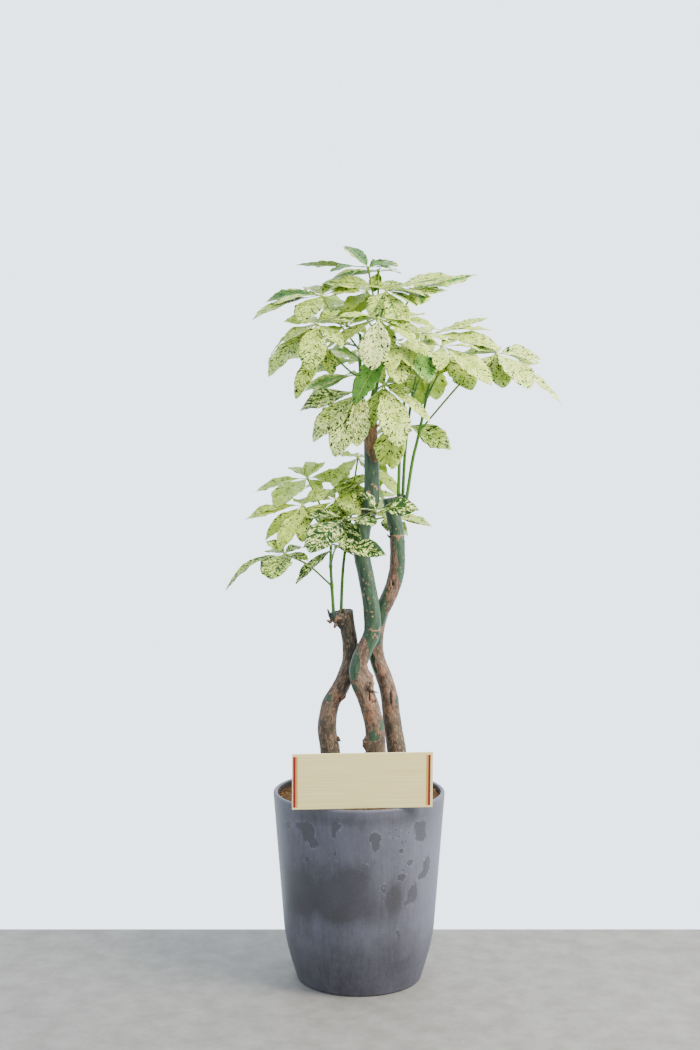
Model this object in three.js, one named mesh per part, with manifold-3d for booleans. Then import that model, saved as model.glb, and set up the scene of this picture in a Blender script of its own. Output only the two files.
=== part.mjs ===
// A potted money tree: three cut trunks twisted past each other in a tall grey planter, green shoots
// with long-stalked hand-shaped leaves, and a bare gift card that stands in the soil behind the front lip.
// Millimetres, +Z up, the front toward -Y. The origin is the middle of the pot's foot.
import * as THREE from 'three';
import { mergeVertices } from 'three/addons/utils/BufferGeometryUtils.js';
import Module from 'manifold-3d';

const wasm = await Module();
wasm.setup();

// Driving dimensions
const GAP = 0.35; // clearance between neighbouring pieces
const POT = {
  height: 374,
  footRadius: 124,
  bendRadius: 148, // control point of the curve from the foot into the straight wall
  bendHeight: 76,
  wallRadius: 150, // where the straight wall starts
  wallHeight: 115,
  lipRadius: 170,
  wall: 9,
  floor: 12,
  footRound: 5,
  footFlare: 0.8, // how far the foot's rounded edge already leans out
  facets: 36,
};
const SOIL_TOP = 345;
const MULCH = { top: 353, relief: 3, coarse: 0.6, fine: 0.5, sectors: 24, rings: [30, 62, 92, 120, 142] };
const TRUNK_SIDES = 12;
const TRUNK_STEP = 28; // about the height of one ring of a trunk
const FLUTES = [
  { depth: 0.035, count: 3, twist: 14 },
  { depth: 0.02, count: 5, twist: -23 },
]; // shallow flutes that wind up a trunk
const SHOOT_SIDES = 6;
const SHOOT_STEPS = 6;
const STALK_SIDES = 4;
const STALK_STEPS = 2; // in each span of a stalk's curve
const STALK_RADIUS = [1.6, 1.3]; // at the shoot and at the hub
const STALK_ARCH = 0.07; // rise of a plain stalk's middle, from its length
const HUB_RADIUS = 6;
const ROOT_DEPTH = 2.4; // how far from the hub's middle a leaflet's root starts
const CARD = {
  width: 265,
  height: 107,
  thickness: 3,
  foot: [5.5, -157, 374.8], // middle of the front edge of its underside, just over the lip
  turn: 4.5, // the left end stands nearer the front
  lean: 4, // and the top leans forward, so that the stake goes down clear of the pot's wall
};
const STAKE = { width: 18, thickness: 4, above: 72, below: 86 }; // above and below the card's foot

// Blade of a leaflet
const BLADE = {
  stations: [0.1, 0.3, 0.56, 0.82, 1], // after the root, which is sunk in the hub
  shortStations: [0.1, 0.36, 0.72, 1],
  shortLength: 96,
  ribThickness: 1.6,
  widthShare: 0.37, // width from length, where a leaflet gives no width of its own
  widest: 50,
  stalkShare: 0.06, // the bare start of the blade
  stalkHalfWidth: 1.7,
  fold: 9, // degrees that each half rises from the rib
  wave: 2.4,
  waves: 1.5,
  droop: 30, // degrees that a level blade bends over
  lean: 24, // degrees that a sideways blade turns its face to the front
  sway: 10, // and how far that varies
};

// Trunks: points up the middle, [x, y, z, radius], and lumps, [x, y, z, across, deep, tall] as half sizes
const TRUNKS = {
  left: {
    path: [
      [-52, 0, 250, 20], [-55, 0, 380, 20], [-57, 0, 449, 19.5], [-64, 0, 497, 18.5], [-57, 3, 542, 17],
      [-38, 8, 575, 16.6], [-27, 12, 599, 16.3], [-17, 18, 632, 16], [-18, 18, 666, 15.6],
      [-24, 12, 702, 15.2], [-27, 8, 729, 15],
    ],
    lumps: [[-47, 2, 716, 11, 10, 14], [-34, 6, 727, 9, 9, 7], [-33, -4, 566, 6, 6, 9]],
  },
  centre: {
    path: [
      [33, -25, 250, 21], [33, -25, 380, 20.6], [32, -25, 454, 20], [31, -24, 502, 19], [23, -24, 536, 18.6],
      [11, -24, 571, 18.2], [1, -24, 593, 17.6], [-3, -22, 616, 17], [2, -20, 637, 16.6], [12, -18, 660, 16.5],
      [23, -16, 682, 16.5], [26, -15, 706, 16.4], [22, -14, 751, 16.2], [13, -12, 802, 15.8], [6, -10, 834, 15.8],
      [5, -8, 866, 15.8], [8, -5, 895, 15.6], [19, -2, 925, 15.6], [24, 0, 952, 15.3], [25, 0, 993, 15],
      [24, 0, 1034, 14.2], [22, 0, 1089, 13.4], [20, 0, 1128, 13],
    ],
    lumps: [[20, -24, 600, 7, 7, 15], [13, -27, 472, 6, 6, 8], [20, -1, 1122, 16, 15, 8]],
  },
  right: {
    path: [
      [80, 15, 250, 20], [79, 16, 380, 20], [75, 18, 445, 19.4], [68, 18, 493, 18], [63, 18, 529, 17.4],
      [61, 18, 552, 17], [56, 19, 574, 16.4], [49, 20, 597, 16], [40, 22, 620, 15.6], [35, 24, 639, 15.3],
      [33, 24, 660, 15], [35, 23, 690, 15], [43, 22, 723, 15.2], [54, 20, 746, 15.5], [64, 18, 769, 15.6],
      [73, 16, 798, 15.5], [76, 15, 826, 15.2], [74, 15, 882, 14.8], [69, 15, 909, 14.5], [60, 15, 951, 14.2],
    ],
    lumps: [[84, 15, 950, 13, 12, 10]],
  },
};

// Shoots: the trunk that each grows from and its points, [x, y, z, radius]
const SHOOTS = {
  left_1: { trunk: 'left', path: [[-50, -2, 722, 3.6], [-54, -6, 785, 3.2], [-56, -9, 827, 3], [-55, -10, 874, 2.6]] },
  left_2: { trunk: 'left', path: [[-36, 5, 714, 3.6], [-33, 8, 794, 3.2], [-28, 11, 845, 3], [-21, 12, 880, 2.6]] },
  right_1: { trunk: 'right', path: [[77, 15, 948, 3.6], [80, 12, 1050, 3.2], [84, 8, 1105, 3], [89, 2, 1145, 2.6]] },
  right_2: { trunk: 'right', path: [[86, 22, 948, 3.6], [90, 26, 1032, 3.2], [97, 31, 1100, 3], [106, 34, 1160, 2.6]] },
  right_3: {
    trunk: 'right',
    path: [[93, 10, 948, 3.6], [104, 4, 1022, 3.3], [112, 0, 1058, 3.1], [119, -4, 1089, 3], [133, -10, 1161, 2.6]],
  },
  centre_1: { trunk: 'centre', path: [[10, -6, 1114, 3.6], [2, -12, 1192, 3.2], [2, -15, 1268, 2.6]] },
  centre_2: { trunk: 'centre', path: [[22, -8, 1114, 3.6], [29, -18, 1182, 3.2], [36, -26, 1282, 2.6]] },
  centre_3: { trunk: 'centre', path: [[24, 8, 1114, 3.6], [37, 28, 1183, 3.2], [53, 44, 1284, 2.6]] },
};

// Leaves: the shoot, how far along it the stalk leaves, bends of the stalk, the hub, and the leaflets as
// [compass, pitch, length, width, roll, droop]. Compass 0 points to +X and 90 to the back, and pitch is above level.
const LEAVES = {
  centre_01: {
    shoot: 'centre_2', along: 1, bends: [[27, -12, 1345]], hub: [17, 10, 1401],
    leaflets: [[179, 2, 141, 40, 8, 5], [116, 28, 112, 34, 0, 12], [52, 8, 88], [-50, -4, 86], [-140, -9, 95]],
  },
  centre_02: {
    shoot: 'centre_2', along: 0.94, bends: [[42, -21, 1305], [52, -20, 1334]], hub: [52, -20, 1354],
    leaflets: [
      [178, 5, 132], [6, 12, 142, 44, 10, 10], [3, 0, 120, 34, 10, -8], [-69, -47, 125, 42], [125, 12, 80], [80, 14, 85],
    ],
  },
  centre_03: {
    shoot: 'centre_3', along: 1, bends: [[89, 42, 1326]], hub: [109, 45, 1363],
    leaflets: [[18, 14, 138, 32, 15, -12], [-48, -2, 95], [-85, -22, 105], [80, 25, 60], [170, 5, 80]],
  },
  centre_04: {
    shoot: 'centre_1', along: 0.8, bends: [[-41, -27, 1294]], hub: [-73, -35, 1343],
    leaflets: [[-166, -20, 145], [-116, -35, 100, 48], [150, -2, 90], [110, 15, 90], [60, 20, 85], [0, 5, 80]],
  },
  centre_05: {
    shoot: 'centre_1', along: 0.7, bends: [[-25, -48, 1240]], hub: [-82, -75, 1286],
    leaflets: [[-149, -45, 145], [-97, -47, 125], [151, -34, 125, 30], [110, 6, 90], [60, 10, 80], [-40, -35, 80]],
  },
  centre_06: {
    shoot: 'centre_1', along: 1, bends: [], hub: [-24, 30, 1289],
    leaflets: [[85, 28, 100], [125, 30, 90], [170, 6, 75], [-160, -18, 55], [30, 15, 80]],
  },
  centre_07: {
    shoot: 'centre_3', along: 0.95, bends: [], hub: [16, 65, 1359],
    leaflets: [[-165, -10, 85], [-120, -30, 90], [20, 5, 90], [90, 10, 90], [150, 12, 90]],
  },
  centre_08: {
    shoot: 'centre_1', along: 0.45, bends: [[-22, -16, 1202]], hub: [-70, -25, 1249],
    leaflets: [[-127, -52, 135, 30], [-60, -60, 70], [170, -20, 110], [60, 15, 60], [110, 0, 80]],
  },
  centre_09: {
    shoot: 'centre_1', along: 0.66, bends: [], hub: [-2, 25, 1222],
    leaflets: [[172, -16, 100, 36, -35], [110, 5, 90], [60, 0, 85], [150, 20, 70]],
  },
  centre_10: {
    shoot: 'centre_1', along: 0.3, bends: [], hub: [-4, 30, 1194],
    leaflets: [[170, -23, 105, 34, -35], [120, -5, 80], [70, -10, 90], [20, -20, 80]],
  },
  centre_11: {
    shoot: 'centre_1', along: 0.2, bends: [], hub: [3, -60, 1159],
    leaflets: [[-158, -45, 138], [-128, -58, 148], [-98, -62, 120, 40], [-168, -18, 125]],
  },
  centre_12: {
    shoot: 'centre_2', along: 0.75, bends: [], hub: [64, -65, 1252],
    leaflets: [[-147, -54, 150, 40, -40], [-95, -40, 90], [-30, -20, 90], [75, 5, 60]],
  },
  centre_13: {
    shoot: 'centre_2', along: 0.97, bends: [], hub: [36, -80, 1296],
    leaflets: [[-100, -54, 125, 52], [150, -25, 125], [-25, -35, 100], [10, -10, 90], [-160, 0, 80]],
  },
  centre_14: {
    shoot: 'centre_2', along: 0.3, bends: [], hub: [47, -50, 1171],
    leaflets: [[-74, -52, 150, 56], [-25, -37, 120, 32], [-130, -60, 100], [30, -10, 70]],
  },
  centre_15: {
    shoot: 'centre_2', along: 0.98, bends: [], hub: [38, 40, 1396],
    leaflets: [[172, -10, 105, 34], [40, 0, 60], [100, 5, 70]],
  },
  right_01: {
    shoot: 'right_1', along: 0.72, bends: [], hub: [73, -15, 1110],
    leaflets: [[-110, -75, 105], [-60, -80, 80, 24], [160, -30, 60]],
  },
  right_02: {
    shoot: 'right_1', along: 1, bends: [], hub: [99, -35, 1267],
    leaflets: [[-66, -50, 120, 47], [-105, -55, 105], [-20, -10, 80], [40, 10, 80], [120, 10, 70]],
  },
  right_03: {
    shoot: 'right_2', along: 1, bends: [], hub: [132, 30, 1271],
    leaflets: [[12, 16, 135, 36, 20, -8], [-3, 3, 136, 34], [-20, -12, 158, 44, 30], [90, 12, 90], [140, 10, 80]],
  },
  right_04: {
    shoot: 'right_3', along: 1, bends: [], hub: [158, -45, 1245],
    leaflets: [[-97, -38, 80], [-35, -35, 135, 44], [-8, -6, 75], [60, 10, 90], [140, 5, 80]],
  },
  right_05: {
    shoot: 'right_3', along: 0.95, bends: [], hub: [174, -12, 1221],
    leaflets: [[-62, -38, 100, 46], [12, -19, 120, 40, 35], [-140, -30, 60], [110, 20, 50]],
  },
  right_06: {
    shoot: 'right_3', along: 0.72, bends: [[195, -15, 1174], [236, -18, 1213]], hub: [266, -20, 1232],
    leaflets: [
      [29, -8, 105, 46, 50], [-11, -38, 162, 34], [-60, -34, 125, 54], [-150, -35, 90], [138, 4, 85, 42, -40],
      [95, 10, 80],
    ],
  },
  right_07: {
    shoot: 'right_2', along: 0.62, bends: [], hub: [90, 52, 1097],
    leaflets: [[-4, -29, 108, 38, 45], [90, -20, 80], [150, -20, 80]],
  },
  right_08: {
    shoot: 'right_2', along: 0.9, bends: [], hub: [144, 110, 1226],
    leaflets: [[90, -15, 110], [40, -10, 115], [140, 0, 90], [-10, -10, 90]],
  },
  back_01: {
    shoot: 'centre_3', along: 0.97, bends: [], hub: [83, 120, 1307],
    leaflets: [[60, 10, 100], [110, 0, 100], [160, 5, 90], [10, -12, 80], [-150, 0, 60]],
  },
  back_02: {
    shoot: 'centre_3', along: 0.85, bends: [], hub: [-18, 125, 1340],
    leaflets: [[100, 0, 100], [150, 5, 100], [50, 5, 90], [-160, -5, 90]],
  },
  back_03: {
    shoot: 'centre_1', along: 0.85, bends: [], hub: [-58, 100, 1246],
    leaflets: [[120, -20, 110], [170, -15, 110], [80, -10, 100], [30, -10, 70]],
  },
  back_04: {
    shoot: 'centre_3', along: 0.6, bends: [], hub: [43, 130, 1247],
    leaflets: [[90, -20, 110], [130, -15, 100], [50, -20, 100], [180, -10, 80], [0, -10, 80]],
  },
  left_01: {
    shoot: 'left_1', along: 0.3, bends: [], hub: [-143, -70, 848],
    leaflets: [[-113, -16, 105, 62, 0], [-165, -33, 138, 26, -20, 58], [-40, -10, 60], [120, 0, 80], [60, 10, 60]],
  },
  left_02: {
    shoot: 'left_1', along: 0.95, bends: [], hub: [-110, -25, 939],
    leaflets: [[168, -14, 120], [-130, -51, 110], [-165, -42, 100], [40, 18, 60], [-90, -70, 75], [100, 5, 80]],
  },
  left_03: {
    shoot: 'left_1', along: 1, bends: [], hub: [-103, 55, 989],
    leaflets: [[-125, -28, 115, 52], [-5, -4, 80, 34, 45], [170, -15, 115, 30], [80, 25, 75], [120, 15, 80]],
  },
  left_04: {
    shoot: 'left_2', along: 1, bends: [], hub: [-2, 80, 1030],
    leaflets: [[-130, -35, 95], [-20, -42, 125, 40], [150, 5, 60], [60, -10, 90], [110, 0, 90]],
  },
  left_05: {
    shoot: 'left_2', along: 0.9, bends: [], hub: [-45, 5, 948],
    leaflets: [[-160, -33, 130], [35, 30, 100], [-110, -50, 85, 40], [120, 10, 90], [-60, -20, 70]],
  },
  left_06: {
    shoot: 'left_2', along: 0.75, bends: [], hub: [-28, -50, 916],
    leaflets: [[-124, -28, 130, 56], [-50, -8, 85, 52], [-90, -42, 85], [170, 0, 80], [60, 5, 60]],
  },
  left_07: {
    shoot: 'left_2', along: 0.97, bends: [[0, -42, 912]], hub: [31, -85, 932],
    leaflets: [[-12, 1, 84, 38, 50], [150, 45, 48], [180, 2, 36, 14], [95, 15, 45]],
  },
  left_08: {
    shoot: 'left_2', along: 0.93, bends: [[2, 45, 900]], hub: [52, 60, 911],
    leaflets: [[-4, -10, 95, 34, 20], [-84, -31, 50], [60, 0, 85], [110, 0, 80]],
  },
  left_09: {
    shoot: 'left_1', along: 0.6, bends: [], hub: [-45, -70, 861],
    leaflets: [[-10, -9, 100, 36, 50], [-158, -40, 108, 28], [175, 0, 60], [80, -5, 70]],
  },
  left_10: {
    shoot: 'left_2', along: 0.95, bends: [], hub: [-38, 110, 984],
    leaflets: [[90, -15, 100], [140, -10, 100], [40, -10, 90], [180, -15, 80]],
  },
  left_11: {
    shoot: 'left_2', along: 1, bends: [], hub: [-3, 35, 982],
    leaflets: [[-160, -25, 75], [-125, -45, 95], [-85, -55, 80], [150, 0, 70], [60, 0, 80]],
  },
  left_12: {
    shoot: 'left_2', along: 0.8, bends: [], hub: [23, 120, 943],
    leaflets: [[80, -15, 100], [30, -15, 100], [130, -10, 80]],
  },
};

// A leaflet that would cross an earlier one is turned to the nearest clear direction round its own, and
// where none is clear it is tried shorter.
const CLEAR = {
  turn: 7,
  rings: 4,
  spokes: 8,
  lengths: [1, 0.8],
  along: 12, // points that stand for a blade, along and across it
  across: 5,
  first: 2, // and the first of them, clear of the hub
  blade: 8, // distance kept from another leaf's points
  tube: 5, // from the side of a trunk, shoot or stalk, which is met every few millimetres
  tubeStep: 6,
  hub: 13, // and from a hub's middle
  ownRoot: 24, // what is nearer than this to a leaf's own hub doesn't count
  reach: 220, // nor what is further off than this
};

const MATERIALS = {
  pot: new THREE.MeshStandardMaterial({ color: 0x6c6d77, roughness: 0.75, metalness: 0 }),
  soil: new THREE.MeshStandardMaterial({ color: 0x3a2a20, roughness: 0.95, metalness: 0 }),
  mulch: new THREE.MeshStandardMaterial({ color: 0x8a5a32, roughness: 0.95, metalness: 0 }),
  bark: new THREE.MeshStandardMaterial({ color: 0x7d6a57, roughness: 0.8, metalness: 0 }),
  stem: new THREE.MeshStandardMaterial({ color: 0x4f7a3c, roughness: 0.5, metalness: 0 }),
  leaf: new THREE.MeshStandardMaterial({ color: 0xc3cf96, roughness: 0.45, metalness: 0 }),
  card: new THREE.MeshStandardMaterial({ color: 0xe6dcbd, roughness: 0.4, metalness: 0 }),
  stake: new THREE.MeshStandardMaterial({ color: 0xc9b184, roughness: 0.7, metalness: 0 }),
};

const radians = THREE.MathUtils.degToRad;
const vector = (p) => new THREE.Vector3(p[0], p[1], p[2]);
const { lerp } = THREE.MathUtils;

// Solids from vertices and triangles, and from three.js geometry
function solidFrom(vertices, triangles) {
  const mesh = new wasm.Mesh({
    numProp: 3,
    vertProperties: new Float32Array(vertices.flat()),
    triVerts: new Uint32Array(triangles.flat()),
  });
  return new wasm.Manifold(mesh);
}

function solidFromGeometry(geometry) {
  const bare = geometry.clone();
  bare.deleteAttribute('normal');
  bare.deleteAttribute('uv');
  const merged = mergeVertices(bare, 1e-4);
  const position = merged.getAttribute('position');
  const corners = merged.getIndex().array;
  const vertices = [];
  for (let i = 0; i < position.count; i += 1) {
    vertices.push([position.getX(i), position.getY(i), position.getZ(i)]);
  }
  const triangles = [];
  for (let i = 0; i < corners.length; i += 3) {
    const [a, b, c] = [corners[i], corners[i + 1], corners[i + 2]];
    if (a !== b && b !== c && a !== c) triangles.push([a, b, c]);
  }
  return solidFrom(vertices, triangles);
}

function meshOf(name, solid, material) {
  const { vertProperties, triVerts } = solid.getMesh();
  const geometry = new THREE.BufferGeometry();
  geometry.setAttribute('position', new THREE.BufferAttribute(new Float32Array(vertProperties), 3));
  geometry.setIndex(new THREE.BufferAttribute(new Uint32Array(triVerts), 1));
  geometry.computeVertexNormals();
  const mesh = new THREE.Mesh(geometry, material);
  mesh.name = name;
  return mesh;
}

const joined = (solids) => solids.reduce((whole, piece) => whole.add(piece));

// A smooth curve through points of any number of values, at 0 to 1 along it
function curvePoint(points, along) {
  const spans = points.length - 1;
  const span = Math.min(Math.floor(along * spans), spans - 1);
  const w = along * spans - span;
  const before = points[span - 1] ?? points[0].map((value, k) => 2 * value - points[1][k]);
  const after = points[span + 2] ?? points[spans].map((value, k) => 2 * value - points[spans - 1][k]);
  return points[span].map((p1, k) => {
    const [p0, p2, p3] = [before[k], points[span + 1][k], after[k]];
    const bend = (2 * p0 - 5 * p1 + 4 * p2 - p3) * w * w + (3 * p1 - p0 - 3 * p2 + p3) * w ** 3;
    return 0.5 * (2 * p1 + (p2 - p0) * w + bend);
  });
}

// A closed round tube along a curve of [x, y, z, radius], with a shape factor for each side and height
function tube(points, sides, steps, grow = 0, shape = () => 1) {
  const vertices = [];
  const triangles = [];
  const across = new THREE.Vector3(0.83, 0.31, 0.47);
  for (let i = 0; i <= steps; i += 1) {
    const point = curvePoint(points, i / steps);
    const next = vector(curvePoint(points, Math.min((i + 0.5) / steps, 1)));
    const last = vector(curvePoint(points, Math.max((i - 0.5) / steps, 0)));
    const ahead = next.sub(last).normalize();
    across.addScaledVector(ahead, -across.dot(ahead)).normalize();
    const aside = ahead.clone().cross(across);
    const end = i === 0 ? -grow : grow * (i === steps);
    const centre = vector(point).addScaledVector(ahead, end);
    for (let k = 0; k < sides; k += 1) {
      const turn = (2 * Math.PI * k) / sides;
      const radius = point[3] * shape(turn, i / steps) + grow;
      const corner = centre.clone().addScaledVector(across, radius * Math.cos(turn));
      vertices.push(corner.addScaledVector(aside, radius * Math.sin(turn)).toArray());
    }
    if (i === 0 || i === steps) vertices.push(centre.toArray());
  }
  const ring = (i) => i * sides + (i > 0);
  for (let k = 0; k < sides; k += 1) {
    const next = (k + 1) % sides;
    triangles.push([sides, next, k]);
    triangles.push([ring(steps) + k, ring(steps) + next, ring(steps) + sides]);
    for (let i = 0; i < steps; i += 1) {
      const [low, high] = [ring(i), ring(i + 1)];
      triangles.push([low + k, low + next, high + next], [low + k, high + next, high + k]);
    }
  }
  return solidFrom(vertices, triangles);
}

// Pot, soil and mulch
function lathe(path) {
  const points = path.getPoints(3);
  return solidFromGeometry(new THREE.LatheGeometry(points, POT.facets).rotateX(Math.PI / 2));
}

const wallSlope = (POT.lipRadius - POT.wallRadius) / (POT.height - POT.wallHeight);
const potRadius = (height) => POT.wallRadius + wallSlope * (height - POT.wallHeight);

function potSolid() {
  const lip = POT.wall / 2;
  const lipHeight = POT.height - lip;
  const path = new THREE.Path();
  path.moveTo(0, 0);
  path.lineTo(POT.footRadius - POT.footRound, 0);
  path.quadraticCurveTo(POT.footRadius, 0, POT.footRadius + POT.footFlare, POT.footRound);
  path.quadraticCurveTo(POT.bendRadius, POT.bendHeight, POT.wallRadius, POT.wallHeight);
  path.lineTo(potRadius(lipHeight), lipHeight);
  path.absarc(potRadius(lipHeight) - lip, lipHeight, lip, 0, Math.PI, false);
  path.lineTo(POT.wallRadius - POT.wall, POT.wallHeight);
  path.quadraticCurveTo(POT.bendRadius - POT.wall, POT.bendHeight, POT.footRadius - POT.wall, POT.floor);
  path.lineTo(0, POT.floor);
  return lathe(path);
}

function soilSolid() {
  const inset = POT.wall + GAP;
  const path = new THREE.Path();
  path.moveTo(0, POT.floor + GAP);
  path.lineTo(POT.footRadius - inset - GAP, POT.floor + GAP);
  path.quadraticCurveTo(POT.bendRadius - inset, POT.bendHeight, POT.wallRadius - inset, POT.wallHeight);
  path.lineTo(potRadius(SOIL_TOP) - inset, SOIL_TOP);
  path.lineTo(0, SOIL_TOP);
  return lathe(path).subtract(standing(GAP));
}

// The mulch is a disc whose top is raised by a formula, loose and uneven as fibre lies
function mulchTop(radius, turn) {
  const coarse = Math.sin(3 * turn + radius / 19) * Math.sin(radius / 23 - 2 * turn);
  const fine = Math.sin(11 * turn + radius * 1.7) * Math.cos(radius * 0.9 - 5 * turn);
  return MULCH.top + MULCH.relief * (MULCH.coarse * coarse + MULCH.fine * fine);
}

function mulchSolid() {
  const bottom = SOIL_TOP + GAP;
  const edge = (potRadius(bottom) - POT.wall) * Math.cos(Math.PI / POT.facets) - GAP;
  const radii = [...MULCH.rings, edge];
  const count = MULCH.sectors;
  const vertices = [[0, 0, mulchTop(0, 0)], [0, 0, bottom]];
  for (const radius of radii) {
    for (let k = 0; k < count; k += 1) {
      const turn = (2 * Math.PI * k) / count;
      vertices.push([radius * Math.cos(turn), radius * Math.sin(turn), mulchTop(radius, turn)]);
    }
  }
  for (let k = 0; k < count; k += 1) {
    const turn = (2 * Math.PI * k) / count;
    vertices.push([edge * Math.cos(turn), edge * Math.sin(turn), bottom]);
  }
  const triangles = [];
  const start = (ring) => 2 + ring * count;
  for (let k = 0; k < count; k += 1) {
    const next = (k + 1) % count;
    triangles.push([0, start(0) + k, start(0) + next]);
    triangles.push([1, start(radii.length) + next, start(radii.length) + k]);
    for (let ring = 0; ring < radii.length; ring += 1) {
      const [near, far] = [start(ring), start(ring + 1)];
      triangles.push([near + k, far + k, far + next], [near + k, far + next, near + next]);
    }
  }
  return solidFrom(vertices, triangles).subtract(standing(GAP));
}

// Trunks
function lumpSolid([x, y, z, across, deep, tall], grow) {
  const ball = new THREE.IcosahedronGeometry(1, 0);
  ball.scale(across + grow, deep + grow, tall + grow).translate(x, y, z);
  return solidFromGeometry(ball);
}

function trunkSolid(name, grow = 0) {
  const { path, lumps } = TRUNKS[name];
  const steps = Math.round((path.at(-1)[2] - path[0][2]) / TRUNK_STEP);
  const shape = (turn, along) => FLUTES.reduce((factor, { depth, count, twist }) => {
    return factor + depth * Math.sin(count * turn + twist * along);
  }, 1);
  const stem = tube(path, TRUNK_SIDES, steps, grow, shape);
  return joined([stem, ...lumps.map((lump) => lumpSolid(lump, grow))]);
}

// Card and stake, leant and turned together about the card's foot
function cardBox(width, thickness, top, bottom, front) {
  const box = new THREE.BoxGeometry(width, thickness, top - bottom);
  box.translate(0, front + thickness / 2, (top + bottom) / 2);
  return solidFromGeometry(box.rotateX(radians(CARD.lean)).rotateZ(radians(CARD.turn)).translate(...CARD.foot));
}

const cardSolid = () => cardBox(CARD.width, CARD.thickness, CARD.height, 0, 0);

function stakeSolid(grow = 0) {
  const [width, thickness] = [STAKE.width + 2 * grow, STAKE.thickness + 2 * grow];
  return cardBox(width, thickness, STAKE.above + grow, -STAKE.below - grow, CARD.thickness + GAP - grow);
}

// All that stands in soil and mulch, grown by a clearance
const standing = (grow) => joined([...Object.keys(TRUNKS).map((name) => trunkSolid(name, grow)), stakeSolid(grow)]);

// Leaflets: where the blade is at 0 to 1 along it and -1 to 1 across it
function leafletFrom(hub, [compass, pitch, length, width, roll, bend]) {
  const droop = radians(bend ?? 4 + BLADE.droop * Math.cos(radians(pitch)));
  return {
    hub,
    compass: radians(compass),
    start: radians(pitch) + droop / 2,
    droop,
    radius: length / (2 * Math.sin(droop / 2)),
    halfWidth: (width ?? Math.min(BLADE.widest, BLADE.widthShare * length)) / 2,
    roll: radians(roll ?? BLADE.lean * Math.cos(radians(compass)) + BLADE.sway * Math.sin(5 * compass + hub[0])),
    stations: [ROOT_DEPTH / length, ...(length < BLADE.shortLength ? BLADE.shortStations : BLADE.stations)],
    phase: 3 * radians(compass) + hub[2],
  };
}

function bladeShare(along) {
  const share = (along - BLADE.stalkShare) / (1 - BLADE.stalkShare);
  return share <= 0 ? 0 : Math.sin(Math.PI * Math.min(share, 1) ** 1.2) ** 0.75;
}

function bladePoint(leaflet, along, across, lift = 0) {
  const { hub, compass, start, droop, radius } = leaflet;
  const pitch = start - droop * along;
  const out = radius * (Math.sin(start) - Math.sin(pitch));
  const up = radius * (Math.cos(pitch) - Math.cos(start));
  const ahead = new THREE.Vector3(Math.cos(compass), Math.sin(compass), 0);
  const aside = new THREE.Vector3(-Math.sin(compass), Math.cos(compass), 0);
  const above = new THREE.Vector3(0, 0, Math.cos(pitch)).addScaledVector(ahead, -Math.sin(pitch));
  const share = bladeShare(along);
  const half = Math.max(leaflet.halfWidth * share, BLADE.stalkHalfWidth * (along < 1));
  const ripple = BLADE.wave * share * Math.sin(2 * Math.PI * BLADE.waves * along + leaflet.phase + across);
  const rise = half * Math.abs(across) * Math.sin(radians(BLADE.fold)) * share + ripple * across * across + lift;
  const tilt = leaflet.roll * share;
  const sideways = half * across * Math.cos(tilt) - rise * Math.sin(tilt);
  const upward = rise * Math.cos(tilt) + half * across * Math.sin(tilt);
  return vector(hub)
    .addScaledVector(ahead, out)
    .add(new THREE.Vector3(0, 0, up))
    .addScaledVector(aside, sideways)
    .addScaledVector(above, upward);
}

// A thin arched blade: at each station two edges and the rib's top and bottom, and a pointed tip
function bladeSolid(leaflet) {
  const stations = leaflet.stations.slice(0, -1);
  const vertices = [];
  const triangles = [];
  for (const along of stations) {
    const lift = BLADE.ribThickness / 2;
    vertices.push(bladePoint(leaflet, along, -1).toArray(), bladePoint(leaflet, along, 0, lift).toArray());
    vertices.push(bladePoint(leaflet, along, 1).toArray(), bladePoint(leaflet, along, 0, -lift).toArray());
  }
  const tip = vertices.length;
  vertices.push(bladePoint(leaflet, 1, 0).toArray());
  for (let i = 0; i < stations.length; i += 1) {
    const [right, top, left, under] = [0, 1, 2, 3].map((k) => 4 * i + k);
    if (i === 0) triangles.push([under, right, top], [under, top, left]);
    if (i === stations.length - 1) {
      triangles.push([right, tip, top], [top, tip, left], [under, tip, right], [left, tip, under]);
    } else {
      const [rightNext, topNext, leftNext, underNext] = [right + 4, top + 4, left + 4, under + 4];
      triangles.push([right, rightNext, top], [top, rightNext, topNext]);
      triangles.push([right, under, rightNext], [under, underNext, rightNext]);
      triangles.push([top, topNext, leftNext], [top, leftNext, left]);
      triangles.push([under, leftNext, underNext], [under, left, leftNext]);
    }
  }
  return solidFrom(vertices, triangles);
}

// The stalk's curve from its shoot to the hub, [x, y, z, radius]
function stalkPath({ shoot, along, bends, hub }) {
  const start = curvePoint(SHOOTS[shoot].path, along).slice(0, 3);
  const arch = STALK_ARCH * vector(start).distanceTo(vector(hub));
  const middle = bends.length ? bends : [[0, 1, 2].map((k) => lerp(start[k], hub[k], 0.5) + arch * (k === 2))];
  const path = [start, ...middle, hub];
  return path.map((point, i) => [...point, lerp(STALK_RADIUS[0], STALK_RADIUS[1], i / (path.length - 1))]);
}

// Directions tried for a leaflet: its own first, then rings of directions round it
function triesFor([compass, pitch, length, ...shape]) {
  const tries = [];
  for (const share of CLEAR.lengths) {
    tries.push([compass, pitch, length * share, ...shape]);
    for (let ring = 1; ring <= CLEAR.rings; ring += 1) {
      for (let spoke = 0; spoke < CLEAR.spokes; spoke += 1) {
        const turn = (2 * Math.PI * spoke) / CLEAR.spokes;
        const [side, rise] = [ring * CLEAR.turn * Math.cos(turn), ring * CLEAR.turn * Math.sin(turn)];
        tries.push([compass + side, pitch + rise, length * share, ...shape]);
      }
    }
  }
  return tries;
}

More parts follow.
